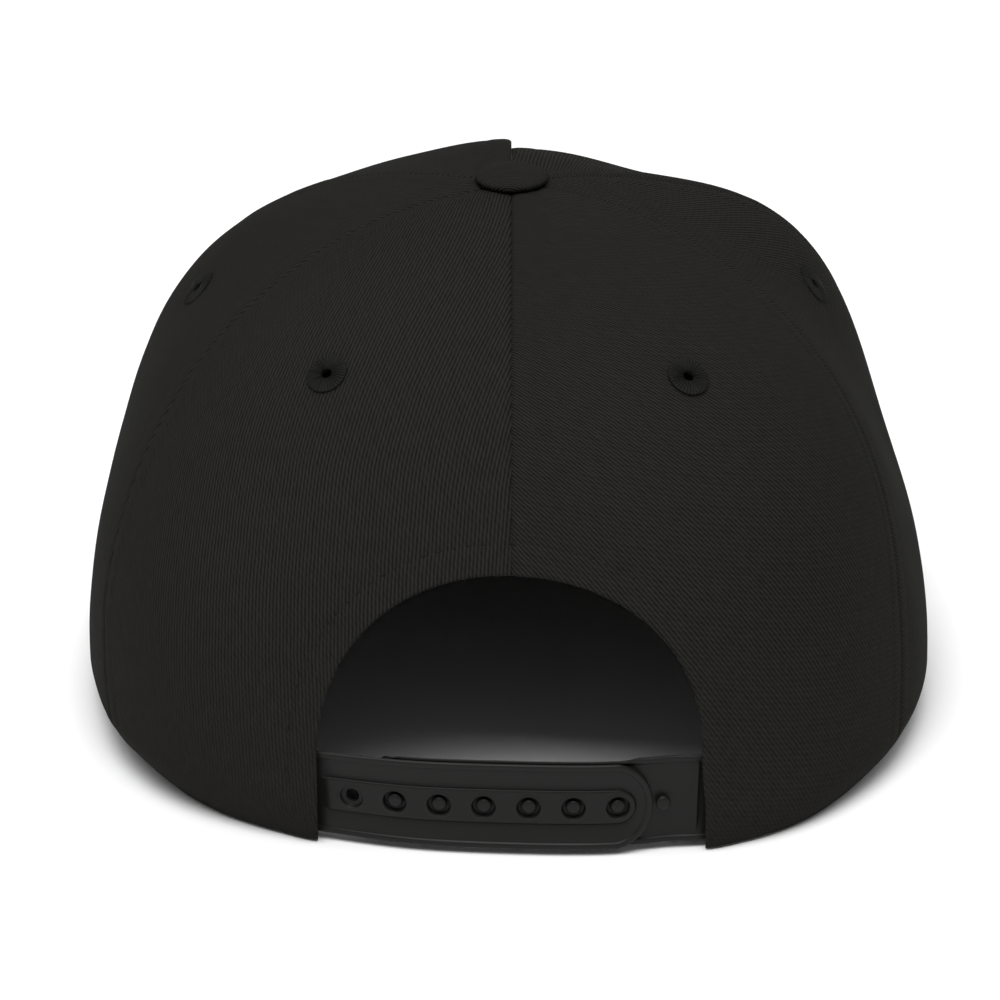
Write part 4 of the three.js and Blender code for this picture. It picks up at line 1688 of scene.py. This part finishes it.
    def _holed(self) -> bpy.types.Object:
        """The strap with holes, from its sewn end to its round free end."""
        points, faces = self._plain(-self.sewn, self.first_hole - self.pitch / 2)
        every = [points]
        count = len(points)
        for hole in range(self.holes):
            centre = self.first_hole + hole * self.pitch
            cell, quads = self._cell(centre, hole == self.holes - 1)
            every.append(cell)
            faces += [tuple(i + count for i in quad) for quad in quads]
            count += len(cell)
        return self._plate("strap_holed", np.concatenate(every), faces, inner=False)

    def _plate(
        self, name: str, points: Array, faces: list[tuple[int, ...]], inner: bool
    ) -> bpy.types.Object:
        """Give a strap's face its thickness and bend it into place."""
        mesh = bpy.data.meshes.new(name)
        mesh.from_pydata((points * MM).tolist(), [], faces)
        obj = bpy.data.objects.new(name, mesh)
        bpy.context.scene.collection.objects.link(obj)
        start_edit(obj)
        bpy.ops.mesh.remove_doubles(threshold=0.02 * MM)
        bpy.ops.mesh.delete_loose()
        bpy.ops.object.mode_set(mode="OBJECT")
        top = coordinates(obj)
        apply_modifier(obj, "SOLIDIFY", thickness=self.thickness * MM, offset=-1)
        both = coordinates(obj)
        under = top.copy()
        under[:, 2] = -self.thickness
        under[:, 1] = np.minimum(under[:, 1], self.half_height - self.chamfer)
        both[: len(top)] = top
        both[len(top) : 2 * len(top)] = under
        move_to(obj, both)
        face_out(obj, merge=0)
        move_to(obj, self.bend(coordinates(obj), inner))
        soften(obj, 40)
        return obj

    def _pegged(self) -> bpy.types.Object:
        """The strap with pegs, which lies inside the other where they lap."""
        columns = np.linspace(self.inner_end, self.sewn, 104)
        columns = np.sort(np.append(columns, self.rib_at + np.linspace(-0.6, 0.6, 7)))
        _, edge = self._borders()
        beads = [(self.half_height - d, z) for d, z in edge]
        rows = [(-y, z) for y, z in reversed(beads)]
        rows += [(y, 0.0) for y in np.linspace(-7.2, 8.9, 10)]
        rows += [(y + self.taller, z) for y, z in beads]
        plate = np.array([[(x, y, z) for x in columns[::-1]] for y, z in rows[::-1]])
        start = self.inner_end + self.inner_round
        short = np.clip((start - plate[..., 0]) / self.inner_round, 0, 1)
        middle = self.taller / 2
        tall = (plate[..., 1] - middle) / (self.half_height + middle)
        plate[..., 0] = np.where(
            short > 0,
            start - self.inner_round * short * np.sqrt(1 - tall**2 / 2),
            plate[..., 0],
        )
        plate[..., 1] = middle + (plate[..., 1] - middle) * np.sqrt(1 - short**2 / 2)
        rib = bump_at(plate[..., 0], self.rib_at, 0.4) * (np.abs(plate[..., 1]) < 7.2)
        plate[..., 2] += 0.3 * rib
        # Under the lap it is flat, and its top edge leans out over the other's chamfer.
        free = smooth(plate[..., 0], self.outer_end - 6.7, self.outer_end - 2.2)
        over_top = np.clip(plate[..., 1] - self.half_height + 1, 0, 1)
        lapped = np.minimum(plate[..., 2], 0) + 0.95 * over_top
        plate[..., 2] = lapped + (plate[..., 2] - lapped) * free
        sheet = mapped_grid("strap_pegged", plate)
        top = coordinates(sheet)
        apply_modifier(sheet, "SOLIDIFY", thickness=self.thickness * MM, offset=-1)
        both = coordinates(sheet)
        both[: len(top)] = top
        both[len(top) :, 0] = top[:, 0]
        both[len(top) :, 1] = np.minimum(
            top[:, 1], self.half_height + self.taller - 1.4 * self.chamfer
        )
        both[len(top) :, 2] = -self.thickness
        move_to(sheet, both)
        parts = [sheet]
        head = self.lap - 0.45
        profile = [(0.0, -0.5), (1.3, -0.5), (1.3, head), (1.55, head + 0.06)]
        profile += [
            (1.62 * math.cos(a) ** 0.8, head + 0.15 + 0.65 * math.sin(a))
            for a in np.linspace(0, math.pi / 2, 9)[:-1]
        ] + [(0.0, head + 0.8)]
        for peg in range(1, self.holes + 1):
            stud = turned(f"peg_{peg}", profile, 28)
            x = self.first_hole + peg * self.pitch + self.last_peg_aside * (peg == self.holes)
            move_to(stud, coordinates(stud) + [x, 0, 0])
            parts.append(stud)
        obj = joined("strap_pegged", parts)
        face_out(obj, merge=0)
        move_to(obj, self.bend(coordinates(obj), True))
        soften(obj, 40)
        return obj


@dataclass(frozen=True)
class SoftBox:
    """A square soft box: its place from the cap's middle and its side, in metres, and watts."""

    name: str
    offset: tuple[float, float, float]
    size: float
    power: float

    def hang(self, middle: Vector) -> None:
        """Hang it so that it faces the cap's middle."""
        data = bpy.data.lights.new(self.name, "AREA")
        data.shape, data.size, data.energy = "SQUARE", self.size, self.power
        light = bpy.data.objects.new(self.name, data)
        light.location = middle + Vector(self.offset)
        light.rotation_mode = "QUATERNION"
        light.rotation_quaternion = (-Vector(self.offset)).to_track_quat("-Z", "Y")
        bpy.context.scene.collection.objects.link(light)


@dataclass
class Studio:
    """A pale floor, soft light and the camera behind the cap, a little above it."""

    target: tuple[float, float, float] = (0.0, 0.0, 60.0)
    distance: float = 1540.0
    elevation: float = 22.0
    lens: float = 251.9
    right: float = -2.49
    up: float = -17.87
    room_light: float = 0.35
    boxes: tuple[SoftBox, ...] = (
        SoftBox("key", (0.15, 1.05, 1.85), 1.2, 40.0),
        SoftBox("top", (0.0, 0.0, 2.0), 3.2, 28.0),
    )

    def build(self, form: CrownForm) -> None:
        """Make the floor, the lights and the camera."""
        self._floor()
        self._world()
        middle = Vector((form.shift + self.target) * MM)
        for box in self.boxes:
            box.hang(middle)
        self._camera(middle)

    def _camera(self, middle: Vector) -> None:
        """Set the camera at the photograph's angle."""
        data = bpy.data.cameras.new("camera")
        data.lens, data.sensor_width = self.lens, 36
        data.clip_start, data.clip_end = 0.05, 30
        camera = bpy.data.objects.new("camera", data)
        lean = math.radians(self.elevation)
        back = Vector((0, math.cos(lean), math.sin(lean)))
        up = Vector((0, -math.sin(lean), math.cos(lean)))
        right = Vector((-1, 0, 0))
        camera.location = middle + back * self.distance * MM
        aim = middle + right * self.right * MM + up * self.up * MM
        camera.rotation_mode = "QUATERNION"
        camera.rotation_quaternion = (aim - camera.location).to_track_quat("-Z", "Y")
        bpy.context.scene.collection.objects.link(camera)
        bpy.context.scene.camera = camera

    def _world(self) -> None:
        """Light from a white room."""
        world = bpy.data.worlds.new("white_room")
        world.use_nodes = True
        background = world.node_tree.nodes["Background"]
        background.inputs["Color"].default_value = (1, 1, 1, 1)
        background.inputs["Strength"].default_value = self.room_light
        bpy.context.scene.world = world
        bpy.context.scene.view_settings.view_transform = "Standard"

    @staticmethod
    def _floor() -> None:
        """Lay the pale floor."""
        bpy.ops.object.select_all(action="DESELECT")
        bpy.ops.mesh.primitive_plane_add(size=12, location=(0, 0, -0.0002))
        floor = bpy.context.object
        floor.name = "floor"
        material = bpy.data.materials.new("pale_floor_painted")
        material.use_nodes = True
        shader = material.node_tree.nodes["Principled BSDF"]
        shader.inputs["Base Color"].default_value = linear("#f7f7f7")
        shader.inputs["Roughness"].default_value = 0.9
        floor.data.materials.append(material)


def main() -> None:
    """Build the cap and its studio."""
    logging.basicConfig(level=logging.INFO, format="%(message)s")
    form = CrownForm()
    twill = CottonTwill().make()
    thread = SpunThread().make()
    band_cloth = BrushedCotton().make()
    plastic = MouldedPlastic().make()
    Crown(form).build(twill, thread)
    Bill(form).build(twill, thread)
    Sweatband(form).build(band_cloth, thread)
    SnapStraps(form).build(plastic)
    Studio().build(form)


if __name__ == "__main__":
    main()
